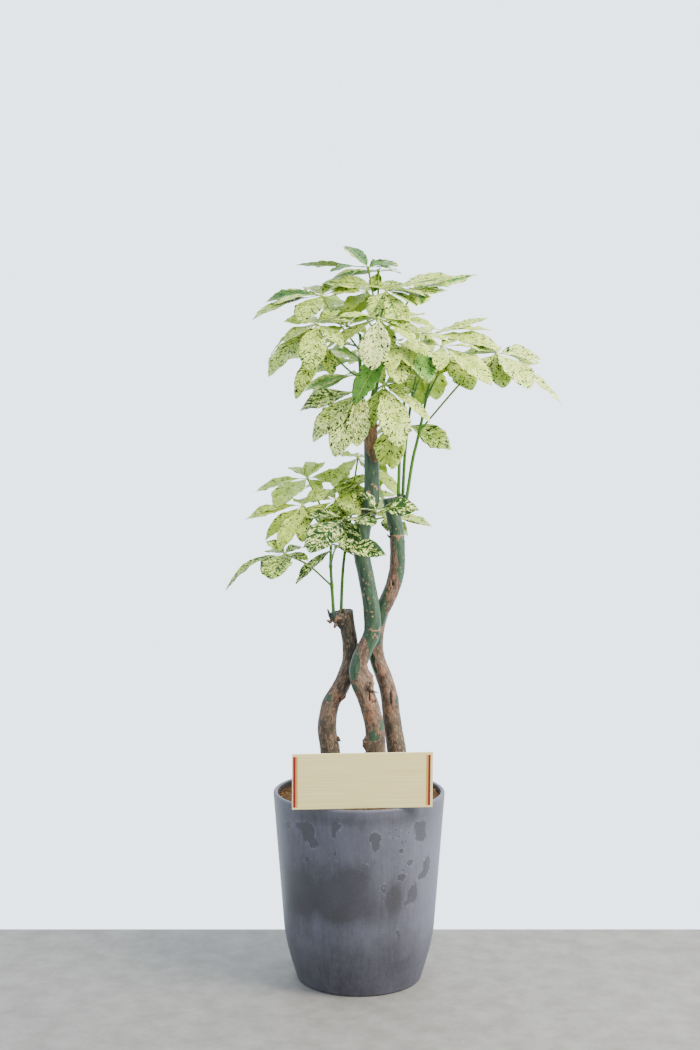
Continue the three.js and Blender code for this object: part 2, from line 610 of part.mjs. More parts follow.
// Points that stand for a blade in the test for crossings
function bladeSamples(leaflet) {
  const samples = [];
  for (let i = CLEAR.first; i <= CLEAR.along; i += 1) {
    for (let k = 0; k < CLEAR.across; k += 1) {
      samples.push(bladePoint(leaflet, i / CLEAR.along, (2 * k) / (CLEAR.across - 1) - 1));
    }
  }
  return samples;
}

function tubeSamples(path) {
  const length = vector(path[0]).distanceTo(vector(path.at(-1)));
  const count = Math.ceil(length / CLEAR.tubeStep);
  return Array.from({ length: count + 1 }, (_, i) => {
    const point = curvePoint(path, i / count);
    return { centre: vector(point), reach: point[3] + CLEAR.tube };
  });
}

// Grows every leaf in turn, and keeps a list of what stands in the way of the next
function growLeaves() {
  const paths = [...Object.values(TRUNKS), ...Object.values(SHOOTS)].map(({ path }) => path);
  const stalks = Object.values(LEAVES).map(stalkPath);
  const hubs = Object.values(LEAVES).map(({ hub }) => ({ centre: vector(hub), reach: CLEAR.hub }));
  const obstacles = [...hubs, ...[...paths, ...stalks].flatMap(tubeSamples)];
  const grown = {};
  for (const [name, leaf] of Object.entries(LEAVES)) {
    const hub = vector(leaf.hub);
    const others = obstacles.filter(({ centre }) => {
      const distance = centre.distanceTo(hub);
      return distance > CLEAR.ownRoot && distance < CLEAR.reach;
    });
    const isClear = (samples) => samples.every((sample) => others.every(({ centre, reach }) => {
      return sample.distanceToSquared(centre) > reach * reach;
    }));
    const leaflets = [];
    const own = [];
    for (const given of leaf.leaflets) {
      for (const choice of triesFor(given)) {
        const leaflet = leafletFrom(leaf.hub, choice);
        const samples = bladeSamples(leaflet);
        if (isClear(samples)) {
          leaflets.push(leaflet);
          own.push(...samples.map((centre) => ({ centre, reach: CLEAR.blade })));
          break;
        }
      }
    }
    obstacles.push(...own);
    grown[name] = leaflets;
  }
  return grown;
}

const hubBall = (hub, grow = 0) => {
  const ball = new THREE.OctahedronGeometry(HUB_RADIUS + grow, 0);
  return solidFromGeometry(ball.translate(...hub));
};

const leafSolid = (hub, leaflets) => joined([hubBall(hub), ...leaflets.map(bladeSolid)]);

function stemSolid(name) {
  const { trunk, path } = SHOOTS[name];
  const leaves = Object.values(LEAVES).filter(({ shoot }) => shoot === name);
  const stalks = leaves.map((leaf) => {
    const stalk = stalkPath(leaf);
    return tube(stalk, STALK_SIDES, STALK_STEPS * (stalk.length - 1)).subtract(hubBall(leaf.hub, GAP));
  });
  return joined([tube(path, SHOOT_SIDES, SHOOT_STEPS), ...stalks]).subtract(trunkSolid(trunk, GAP));
}

// Scene graph
const tree = new THREE.Group();
tree.add(meshOf('pot', potSolid(), MATERIALS.pot));
tree.add(meshOf('soil', soilSolid(), MATERIALS.soil));
tree.add(meshOf('mulch', mulchSolid(), MATERIALS.mulch));
for (const name of Object.keys(TRUNKS)) tree.add(meshOf(`trunk_${name}`, trunkSolid(name), MATERIALS.bark));
for (const name of Object.keys(SHOOTS)) tree.add(meshOf(`stem_${name}`, stemSolid(name), MATERIALS.stem));
for (const [name, leaflets] of Object.entries(growLeaves())) {
  tree.add(meshOf(`leaf_${name}`, leafSolid(LEAVES[name].hub, leaflets), MATERIALS.leaf));
}
tree.add(meshOf('card_board', cardSolid(), MATERIALS.card));
tree.add(meshOf('card_stake', stakeSolid(), MATERIALS.stake));

export default tree;
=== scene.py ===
# A potted money tree: three cut trunks twisted past each other in a tall slate-grey planter, green
# shoots with long-stalked, speckled hand-shaped leaves, and a bare cream gift card on a stake.
# Metres, +Z up, the front toward -Y, the origin in the middle of the pot's foot.
import math
from collections import namedtuple
from functools import partial

import bmesh
import bpy
import numpy as np
from mathutils import Matrix, Vector


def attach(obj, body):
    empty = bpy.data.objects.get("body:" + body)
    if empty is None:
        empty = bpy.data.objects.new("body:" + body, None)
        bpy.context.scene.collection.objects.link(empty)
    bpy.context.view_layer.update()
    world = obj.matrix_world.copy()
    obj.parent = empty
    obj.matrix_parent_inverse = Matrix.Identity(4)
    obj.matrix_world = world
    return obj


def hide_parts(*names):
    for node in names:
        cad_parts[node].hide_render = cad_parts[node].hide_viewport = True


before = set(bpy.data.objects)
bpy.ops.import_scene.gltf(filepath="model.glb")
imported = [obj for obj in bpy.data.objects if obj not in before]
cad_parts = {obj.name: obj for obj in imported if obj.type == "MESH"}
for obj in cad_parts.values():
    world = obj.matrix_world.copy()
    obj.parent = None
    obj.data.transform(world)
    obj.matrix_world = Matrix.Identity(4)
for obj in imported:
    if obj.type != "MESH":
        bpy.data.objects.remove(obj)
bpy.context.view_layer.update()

# ---------------------------------------------------------------- sizes, in millimetres
MM = 0.001

# The pot. Its poles are how far the two ends of the outline stand in from the foot
POT = {
    "height": 374, "foot_radius": 124, "foot_round": 5, "foot_flare": 0.8,
    "bend_radius": 148, "bend_height": 76, "wall_radius": 150, "wall_height": 115,
    "lip_radius": 170, "wall": 9, "floor": 12, "facets": 320, "pole": 40, "floor_pole": 30,
}
# Steps along each run of the pot's outline: up the outside, over the lip and down the inside
POT_STEPS = {"foot": 6, "bend": 20, "wall": 85, "lip": 11, "inside": 11, "floor": 10}
# How the marks on the pot fade out over its sides, and the wear that its back gets instead
POT_WEAR = {
    "fade": 70, "back_over": 60, "bare": 0.36, "drops": 0.4,
    "bloom_and_shading": 0.3, "faded_from": 200, "faded_over": 170, "all_faded": 0.12,
}
# The inside, darkened by stain and by painted shade: how deep in the wall it begins, and between which
# heights
POT_INSIDE = {"depth": 6, "fade": 2, "from": 14, "below_lip": 2}
MULCH = {
    "top": 353, "sunk": 1.5, "relief": 3, "edge": 158.5, "rings": 44, "sectors": 120,
    "heap": 12, "heap_from": 95, "heap_over": 45, "hollows": 0.6, "crumbs": 0.5,
}
CARD = {
    "width": 265, "height": 107, "thickness": 3, "foot": [5.5, -157, 374.8],
    "turn": 4.5, "lean": 4, "bevel": 0.7,
}
# Stripes of the card: distance of the outer edge from the card's left edge, and width
CARD_STRIPES = {
    "red_left": (2.0, 4.4), "gold_left": (6.4, 4.0), "gold_right": (252.4, 3.8), "red_right": (256.2, 4.2),
}
STRIPE = {"top": 5, "bottom": 4, "proud": 0.15, "depth": 0.6, "bevel": 0.1}

# A leaflet's usual size and bend, for those whose row doesn't give them; angles in degrees
BLADE = {
    "width_share": 0.37, "widest": 50, "fullness": 1.16, "least_droop": 4, "droop": 23,
    "lean": 24, "sway": 10, "sway_rate": 5, "root_depth": 2.4,
}
# The outline and section that every blade has
BLADE_SHAPE = {
    "belly": 1.2, "bluntness": 0.68, "tip_taper": 0.05, "rib_half_width": 2.4 * MM, "thin_margin": 8,
    "thin_ends": 40,
}
STALK = {
    "step": 4, "arch": 0.07, "radius": 2.0,
    "swell": 0.9, "swell_reach": 5, "hub_swell": 0.7, "hub_reach": 4.5,
}
# How far from its shoot a stalk turns from green to olive
STALK_AGE = {"start": 1.25, "over": 45}
# The loose fibre: how a strand is bowed, as shares of its length, a flake's shape, and how both are strewn
LITTER = {
    "lead": 0.1, "bow": 0.35, "lift": 0.12, "flake": (1.0, 0.5, 0.28),
    "least_turn": (-0.35, -0.35, 0.0), "most_turn": (0.35, 0.35, 6.283), "smallest": 0.45, "largest": 1.2,
}

# What the Geometry Nodes trees are given, in metres and radians
BLADE_INPUTS = {
    "Stations": 45, "Across": 15, "Blade thickness": 0.5 * MM, "Rib thickness": 0.9 * MM,
    "Fold": math.radians(9), "Wave": 4.2 * MM, "Wave length": 26 * MM, "Ragged": 0.3,
    "Ragged length": 10 * MM, "Stalk share": 0.06, "Stalk half width": 1.7 * MM, "Hub radius": 3.4 * MM,
}
TRUNK_INPUTS = {
    "Sides": 76, "Step": 1.7 * MM, "Girth": 17 * MM, "Lumps": 3.4 * MM, "Lump size": 26 * MM,
    "Ridges": 1.5 * MM, "Ridge size": 2.8 * MM,
}
SHOOT_INPUTS = {
    "Sides": 12, "Step": 3 * MM, "Girth": 3 * MM, "Lumps": 0.3 * MM, "Lump size": 14 * MM,
    "Ridges": 0.0, "Ridge size": 2 * MM,
}
STUB_INPUTS = {
    "Sides": 14, "Step": 0.8 * MM, "Girth": 3 * MM, "Lumps": 1.6 * MM, "Lump size": 5 * MM,
    "Ridges": 0.6 * MM, "Ridge size": 1.6 * MM,
}
LITTER_INPUTS = {
    "Strands": 26000.0, "Flakes": 9000.0, "Strand length": 17 * MM, "Strand radius": 0.45 * MM,
    "Flake size": 4.2 * MM, "Seed": 4,
}
# The bark: how far apart its path is sampled, how green its cork is, how a green patch is stretched and
# edged, and how far the skin swells over a knot and sinks into a gap
TRUNK_STEP = 5
LEAST_GREEN = 0.12
PATCH = {"stretch": [1, 0.8, 0.75], "edge": 4}
KNOT = {"step": 2, "size": 1.08, "window": 1.5, "fullness": 1.6}
GAP = {"depth": 2.5, "facing": 8}
# A cut end is the only face with more corners than these. It is dished, and each of its rings has a share
# of the rim and a share of the depth. Its bumps are waves in X and Y, each with its rate and how much it
# shifts from ring to ring
CUT = {
    "corners": 8, "cap": 1, "depth": 1.6, "bump": 0.2, "waves": ((900, 9), (1300, 7)),
    "rings": ((0.94, -0.1), (0.86, 0.5), (0.66, 1.0), (0.42, 0.8), (0.18, 1.1)),
}
STUB = {
    "step": 1.2, "bow": 0.1, "bow_radius": 0.55, "point": 0.12, "point_radius": 0.2,
    "dark": 0.25, "dead_below": 0.2, "grey": 0.5,
}

# Camera, floor and light, in metres and degrees
CAMERA = {"sensor": 36, "lens": 52.1, "place": (-0.018, -2.975, 1.081), "tilt": 86.5}
FLOOR = {"near": -4.0, "far": 0.275, "side": 3.0}
SKY = {"colour": (0.8, 0.9, 1.0, 1), "least": 1.6, "more": 1.9, "lean": 0.25, "from": -0.35, "to": 0.9}
KEY = {
    "size": 1.3, "energy": 150, "colour": (1.0, 0.93, 0.82), "place": (1.7, -1.0, 2.2), "aim": (0, 0, 0.8),
}

# Trunks: points up the middle, [x, y, z, radius], and knots, [x, y, z, across, deep, tall] as half sizes
TRUNKS = {
    "left": {
        "path": [
            [-52, 0, 250, 20], [-55, 0, 380, 20], [-57, 0, 449, 19.5], [-64, 0, 497, 18.5],
            [-57, 3, 542, 17], [-38, 8, 575, 16.6], [-27, 12, 599, 16.3], [-17, 18, 632, 16],
            [-18, 18, 666, 15.6], [-24, 12, 702, 15.2], [-27, 8, 729, 15],
        ],
        "knots": [[-47, 2, 716, 11, 10, 14], [-34, 6, 727, 9, 9, 7], [-33, -4, 566, 6, 6, 9]],
    },
    "centre": {
        "path": [
            [33, -25, 250, 21], [33, -25, 380, 20.6], [32, -25, 454, 20], [31, -24, 502, 19],
            [23, -24, 536, 18.6], [11, -24, 571, 18.2], [1, -24, 593, 17.6], [-3, -22, 616, 17],
            [2, -20, 637, 16.6], [12, -18, 660, 16.5], [23, -16, 682, 16.5], [26, -15, 706, 16.4],
            [22, -14, 751, 16.2], [13, -12, 802, 15.8], [6, -10, 834, 15.8], [5, -8, 866, 15.8],
            [8, -5, 895, 15.6], [19, -2, 925, 15.6], [24, 0, 952, 15.3], [25, 0, 993, 15],
            [24, 0, 1034, 14.2], [22, 0, 1089, 13.4], [20, 0, 1128, 13],
        ],
        "knots": [[20, -24, 600, 7, 7, 15], [13, -27, 472, 6, 6, 8], [20, -1, 1122, 16, 15, 8]],
    },
    "right": {
        "path": [
            [80, 15, 250, 20], [79, 16, 380, 20], [75, 18, 445, 19.4], [68, 18, 493, 18],
            [63, 18, 529, 17.4], [61, 18, 552, 17], [56, 19, 574, 16.4], [49, 20, 597, 16],
            [40, 22, 620, 15.6], [35, 24, 639, 15.3], [33, 24, 660, 15], [35, 23, 690, 15],
            [43, 22, 723, 15.2], [54, 20, 746, 15.5], [64, 18, 769, 15.6], [73, 16, 798, 15.5],
            [76, 15, 826, 15.2], [74, 15, 882, 14.8], [69, 15, 909, 14.5], [60, 15, 951, 14.2],
        ],
        "knots": [[84, 15, 950, 13, 12, 10]],
    },
}

# Shoots: the trunk that each grows from and its points, [x, y, z, radius]
SHOOTS = {
    "left_1": [[-50, -2, 722, 3.6], [-54, -6, 785, 3.2], [-56, -9, 827, 3], [-55, -10, 874, 2.6]],
    "left_2": [[-36, 5, 714, 3.6], [-33, 8, 794, 3.2], [-28, 11, 845, 3], [-21, 12, 880, 2.6]],
    "right_1": [[77, 15, 948, 3.6], [80, 12, 1050, 3.2], [84, 8, 1105, 3], [89, 2, 1145, 2.6]],
    "right_2": [[86, 22, 948, 3.6], [90, 26, 1032, 3.2], [97, 31, 1100, 3], [106, 34, 1160, 2.6]],
    "right_3": [
        [93, 10, 948, 3.6], [104, 4, 1022, 3.3], [112, 0, 1058, 3.1], [119, -4, 1089, 3],
        [133, -10, 1161, 2.6],
    ],
    "centre_1": [[10, -6, 1114, 3.6], [2, -12, 1192, 3.2], [2, -15, 1268, 2.6]],
    "centre_2": [[22, -8, 1114, 3.6], [29, -18, 1182, 3.2], [36, -26, 1282, 2.6]],
    "centre_3": [[24, 8, 1114, 3.6], [37, 28, 1183, 3.2], [53, 44, 1284, 2.6]],
}

# Each leaf has its shoot, how far along it the stalk leaves, bends of the stalk, the hub, how it is marked
# and its leaflets. The marks are the share of dark specks, the share of solid green along the rib, and how
# white the pale ground is, from yellow-green 0 to cream 1. A leaflet is [compass, pitch, length, width,
# roll, droop], where compass 0 points to +X and 90 to the back.
Leaf = namedtuple("Leaf", "shoot along bends hub look leaflets")
LEAVES = {
    "centre_01": Leaf("centre_2", 1, [[27, -12, 1345]], [17, 10, 1401], [0.5, 0.95, 0.3], [
        [179, 2, 141, 40, 8, 5], [116, 28, 112, 34, 0, 12], [52, 8, 88], [-50, -4, 86], [-140, -9, 95],
        [19, -3, 62, 16], [31, 15, 60, 18],
    ]),
    "centre_02": Leaf("centre_2", 0.94, [[42, -21, 1305], [52, -20, 1334]], [52, -20, 1354],
        [0.5, 0.35, 0.5], [
        [178, 5, 132], [6, 12, 142, 44, 30, 10], [3, 0, 120, 34, 30, -8], [-69, -47, 125, 42],
        [125, 12, 80], [80, 14, 85], [-129, -49, 69, 38], [-27, -27, 73, 40], [-22, -10, 82, 30],
    ]),
    "centre_03": Leaf("centre_3", 1, [[89, 42, 1326]], [109, 45, 1363], [0.45, 0.5, 0.5], [
        [18, 14, 138, 32, 28, -12], [-48, -2, 95], [-85, -22, 105], [80, 25, 60], [170, 5, 80],
        [17, -2, 67, 30], [37, 10, 67, 24],
    ]),
    "centre_04": Leaf("centre_1", 0.8, [[-41, -27, 1294]], [-73, -35, 1343], [0.56, 0.1, 0.4], [
        [-166, -20, 145], [-116, -35, 100, 48], [150, -2, 90], [110, 15, 90], [60, 20, 85], [0, 5, 80],
        [174, -7, 114, 44], [-156, -12, 100, 36], [-29, 22, 56, 31],
    ]),
    "centre_05": Leaf("centre_1", 0.7, [[-25, -48, 1240]], [-82, -75, 1286], [0.6, 0.15, 0.4], [
        [-149, -45, 145], [-97, -47, 125], [151, -34, 125, 30], [110, 6, 90], [60, 10, 80],
        [-40, -35, 80], [-171, 2, 63, 35], [-153, -29, 75, 41], [24, 29, 56, 31], [7, 0, 84, 26],
        [174, -37, 114, 16, 0, 60],
    ]),
    "centre_06": Leaf("centre_1", 1, [], [-24, 30, 1289], [0.35, 0.35, 0.1], [
        [85, 28, 100], [125, 30, 90], [170, 6, 75], [-160, -18, 55], [30, 15, 80], [-40, -19, 49, 27],
        [-147, -23, 50, 26], [-152, 8, 64, 30],
    ]),
    "centre_07": Leaf("centre_3", 0.95, [], [16, 65, 1359], [0.3, 0.1, 0.1], [
        [-165, -10, 85], [-120, -30, 90], [20, 5, 90], [90, 10, 90], [150, 12, 90], [-50, -50, 61, 33],
        [-127, -48, 74, 36],
    ]),
    "centre_08": Leaf("centre_1", 0.45, [[-22, -16, 1202]], [-70, -25, 1249], [0.6, 0.1, 0.4], [
        [-127, -52, 135, 30], [-60, -60, 70], [170, -20, 110], [60, 15, 60], [110, 0, 80],
        [-93, -35, 37, 20], [17, 30, 39, 22],
    ]),
    "centre_09": Leaf("centre_1", 0.66, [], [-2, 25, 1222], [0.45, 0.55, 0.62], [
        [172, -16, 100, 36, -35], [110, 5, 90], [60, 0, 85], [150, 20, 70], [-171, -13, 94, 40],
    ]),
    "centre_10": Leaf("centre_1", 0.3, [], [-4, 30, 1194], [0.45, 0.55, 0.7], [
        [170, -23, 105, 34, -35], [120, -5, 80], [70, -10, 90], [20, -20, 80], [-172, -18, 111, 44],
    ]),
    "centre_11": Leaf("centre_1", 0.2, [], [3, -60, 1159], [0.66, 0.15, 0.75], [
        [-158, -45, 138], [-128, -58, 148], [-98, -62, 120, 40], [-168, -18, 125], [-116, -72, 74, 40],
    ]),
    "centre_12": Leaf("centre_2", 0.75, [], [64, -65, 1252], [0.5, 0.2, 0.5], [
        [-147, -54, 150, 40, -40], [-95, -40, 90], [-30, -20, 90], [75, 5, 60], [-73, -63, 91, 44],
        [-33, -46, 80, 44],
    ]),
    "centre_13": Leaf("centre_2", 0.97, [], [36, -80, 1296], [0.52, 0.0, 0.5], [
        [-100, -54, 125, 52], [150, -25, 125], [-25, -35, 100], [10, -10, 90], [-160, 0, 80],
        [-173, -35, 99, 44], [-39, -61, 66, 34], [0, -25, 53, 29],
    ]),
    "centre_14": Leaf("centre_2", 0.3, [], [47, -50, 1171], [0.6, 0.1, 0.6], [
        [-74, -52, 150, 56], [-25, -37, 120, 32], [-130, -60, 100], [30, -10, 70], [26, 16, 72, 40],
        [-28, -18, 45, 25], [127, 47, 54, 30],
    ]),
    "centre_15": Leaf("centre_2", 0.98, [], [38, 40, 1396], [0.4, 0.6, 0.3], [
        [172, -10, 105, 34], [40, 0, 60], [100, 5, 70], [-154, -11, 59, 32], [-114, -62, 47, 26],
    ]),
    "right_01": Leaf("right_1", 0.72, [], [73, -15, 1110], [0.52, 0.1, 0.4], [
        [-110, -75, 105], [-60, -80, 80, 24], [160, -30, 60], [-125, -63, 106, 46],
    ]),
    "right_02": Leaf("right_1", 1, [], [99, -35, 1267], [0.52, 0.15, 0.6], [
        [-66, -50, 120, 47], [-105, -55, 105], [-20, -10, 80], [40, 10, 80], [120, 10, 70],
        [174, 5, 48, 26], [20, -8, 77, 34],
    ]),
    "right_03": Leaf("right_2", 1, [], [132, 30, 1271], [0.48, 0.1, 0.5], [
        [12, 16, 135, 36, 20, -8], [-3, 3, 136, 34], [-20, -12, 158, 44, 30], [90, 12, 90], [140, 10, 80],
    ]),
    "right_04": Leaf("right_3", 1, [], [158, -45, 1245], [0.42, 0.05, 0.5], [
        [-97, -38, 80], [-35, -35, 135, 44], [-8, -6, 75], [60, 10, 90], [140, 5, 80], [17, -30, 58, 32],
        [133, -64, 78, 40],
    ]),
    "right_05": Leaf("right_3", 0.95, [], [174, -12, 1221], [0.5, 0.1, 0.4], [
        [-62, -38, 100, 46], [12, -19, 120, 40, 35], [-140, -30, 60], [110, 20, 50], [-128, -36, 55, 30],
        [-12, -24, 109, 36],
    ]),
    "right_06": Leaf("right_3", 0.72, [[195, -15, 1174], [236, -18, 1213]], [266, -20, 1232],
        [0.6, 0.15, 0.65], [
        [29, -8, 105, 46, 50], [-11, -38, 162, 34], [-60, -34, 125, 54], [-150, -35, 90],
        [138, 4, 85, 42, -40], [95, 10, 80], [170, 17, 59, 32], [-73, -65, 74, 41], [0, -8, 90, 36],
        [-137, -56, 66, 36],
    ]),
    "right_07": Leaf("right_2", 0.62, [], [90, 52, 1097], [0.72, 0.3, 0.5], [
        [-4, -29, 108, 42, 62], [90, -20, 80], [150, -20, 80],
    ]),
    "right_08": Leaf("right_2", 0.9, [], [144, 110, 1226], [0.3, 0.1, 0.3], [
        [90, -15, 110], [40, -10, 115], [140, 0, 90], [-10, -10, 90], [-61, -74, 84, 44],
        [-131, -68, 105, 40], [-145, -48, 105, 40], [141, 76, 63, 34],
    ]),
    "back_01": Leaf("centre_3", 0.97, [], [83, 120, 1307], [0.3, 0.1, 0.1], [
        [60, 10, 100], [110, 0, 100], [160, 5, 90], [10, -12, 80], [-150, 0, 60], [-29, -45, 58, 32],
        [-166, 20, 45, 24],
    ]),
    "back_02": Leaf("centre_3", 0.85, [], [-18, 125, 1340], [0.3, 0.1, 0.1], [
        [100, 0, 100], [150, 5, 100], [50, 5, 90], [-160, -5, 90], [-140, -38, 49, 27], [15, 7, 38, 21],
    ]),
    "back_03": Leaf("centre_1", 0.85, [], [-58, 100, 1246], [0.3, 0.1, 0.1], [
        [120, -20, 110], [170, -15, 110], [80, -10, 100], [30, -10, 70], [13, 20, 48, 26],
    ]),
    "back_04": Leaf("centre_3", 0.6, [], [43, 130, 1247], [0.3, 0.05, 0.1], [
        [90, -20, 110], [130, -15, 100], [50, -20, 100], [180, -10, 80], [0, -10, 80],
        [-118, -66, 56, 31], [-9, -29, 75, 38],
    ]),
    "left_01": Leaf("left_1", 0.3, [], [-143, -70, 848], [0.9, 0.1, 0.4], [
        [-104, -24, 100, 52, 0], [-167, -31, 134, 24, -14, 58], [-40, -10, 60], [120, 0, 80],
        [60, 10, 60], [-149, -38, 62, 34], [165, 32, 45, 24],
    ]),
    "left_02": Leaf("left_1", 0.95, [], [-110, -25, 939], [0.4, 0.1, 0.2], [
        [168, -14, 120], [-130, -51, 110, 28, -45], [-165, -42, 100, 26, -40], [40, 18, 60],
        [-90, -70, 75], [100, 5, 80], [-177, -14, 114, 32], [16, 28, 62, 34],
    ]),
    "left_03": Leaf("left_1", 1, [], [-103, 55, 989], [0.35, 0.0, 0.2], [
        [-125, -28, 115, 52], [-5, -4, 80, 34, 45], [170, -15, 115, 30], [80, 25, 75], [120, 15, 80],
        [16, 41, 49, 18], [-34, -37, 44, 24],
    ]),
    "left_04": Leaf("left_2", 1, [], [-2, 80, 1030], [0.3, 0.0, 0.15], [
        [-130, -35, 95], [-20, -42, 125, 40], [150, 5, 60], [60, -10, 90], [110, 0, 90],
        [28, -61, 66, 36], [30, -56, 105, 44],
    ]),
    "left_05": Leaf("left_2", 0.9, [], [-45, 5, 948], [0.72, 0.15, 0.4], [
        [-160, -33, 130, 32, -45], [35, 30, 100], [-110, -50, 85, 40], [120, 10, 90], [-60, -20, 70],
        [175, -4, 64, 35], [-85, -62, 86, 40], [12, -1, 48, 26],
    ]),
    "left_06": Leaf("left_2", 0.75, [], [-28, -50, 916], [0.96, 0.05, 0.9], [
        [-124, -28, 130, 56], [-50, -8, 85, 52], [-90, -42, 85], [170, 0, 80], [60, 5, 60],
        [-71, -53, 70, 38], [-166, -35, 101, 40],
    ]),
    "left_07": Leaf("left_2", 0.97, [[0, -42, 912]], [31, -85, 932], [1.0, 0.1, 0.9], [
        [-12, 1, 84, 38, 50], [150, 45, 48], [180, 2, 36, 14], [95, 15, 45], [152, 59, 41, 16],
    ]),
    "left_08": Leaf("left_2", 0.93, [[2, 45, 900]], [52, 60, 911], [0.7, 0.2, 0.5], [
        [-4, -10, 95, 34, 20], [-84, -31, 50], [60, 0, 85], [110, 0, 80], [9, -12, 100, 22],
        [0, -39, 60, 33],
    ]),
    "left_09": Leaf("left_1", 0.6, [], [-45, -70, 861], [1.0, 0.05, 0.9], [
        [-10, -9, 100, 36, 50], [-158, -40, 108, 28], [175, 0, 60], [80, -5, 70], [0, -26, 39, 21],
    ]),
    "left_10": Leaf("left_2", 0.95, [], [-38, 110, 984], [0.3, 0.0, 0.1], [
        [90, -15, 100], [140, -10, 100], [40, -10, 90], [180, -15, 80], [-68, -56, 48, 26],
    ]),
    "left_11": Leaf("left_2", 1, [], [-3, 35, 982], [0.66, 0.1, 0.3], [
        [-160, -25, 75], [-125, -45, 95], [-85, -55, 80], [150, 0, 70], [60, 0, 80], [-71, -65, 64, 35],
        [168, 0, 48, 26],
    ]),
    "left_12": Leaf("left_2", 0.8, [], [23, 120, 943], [0.35, 0.0, 0.1], [
        [80, -15, 100], [30, -15, 100], [130, -10, 80], [19, 9, 61, 34], [35, 66, 84, 44],
    ]),
}
# Leaflets that are marked unlike the rest of their leaf: the leaf, and the leaflet's place in its list
LEAFLET_LOOKS = {
    ("centre_12", 0): [0.3, 1.6, 0.52], ("centre_13", 0): [0.56, 0.0, 0.95],
    ("right_02", 0): [0.52, 0.8, 0.8], ("centre_05", 2): [0.3, 1.2, 0.3],
    ("centre_04", 6): [0.6, 0.75, 0.4], ("centre_11", 3): [0.92, 0.3, 0.85],
}
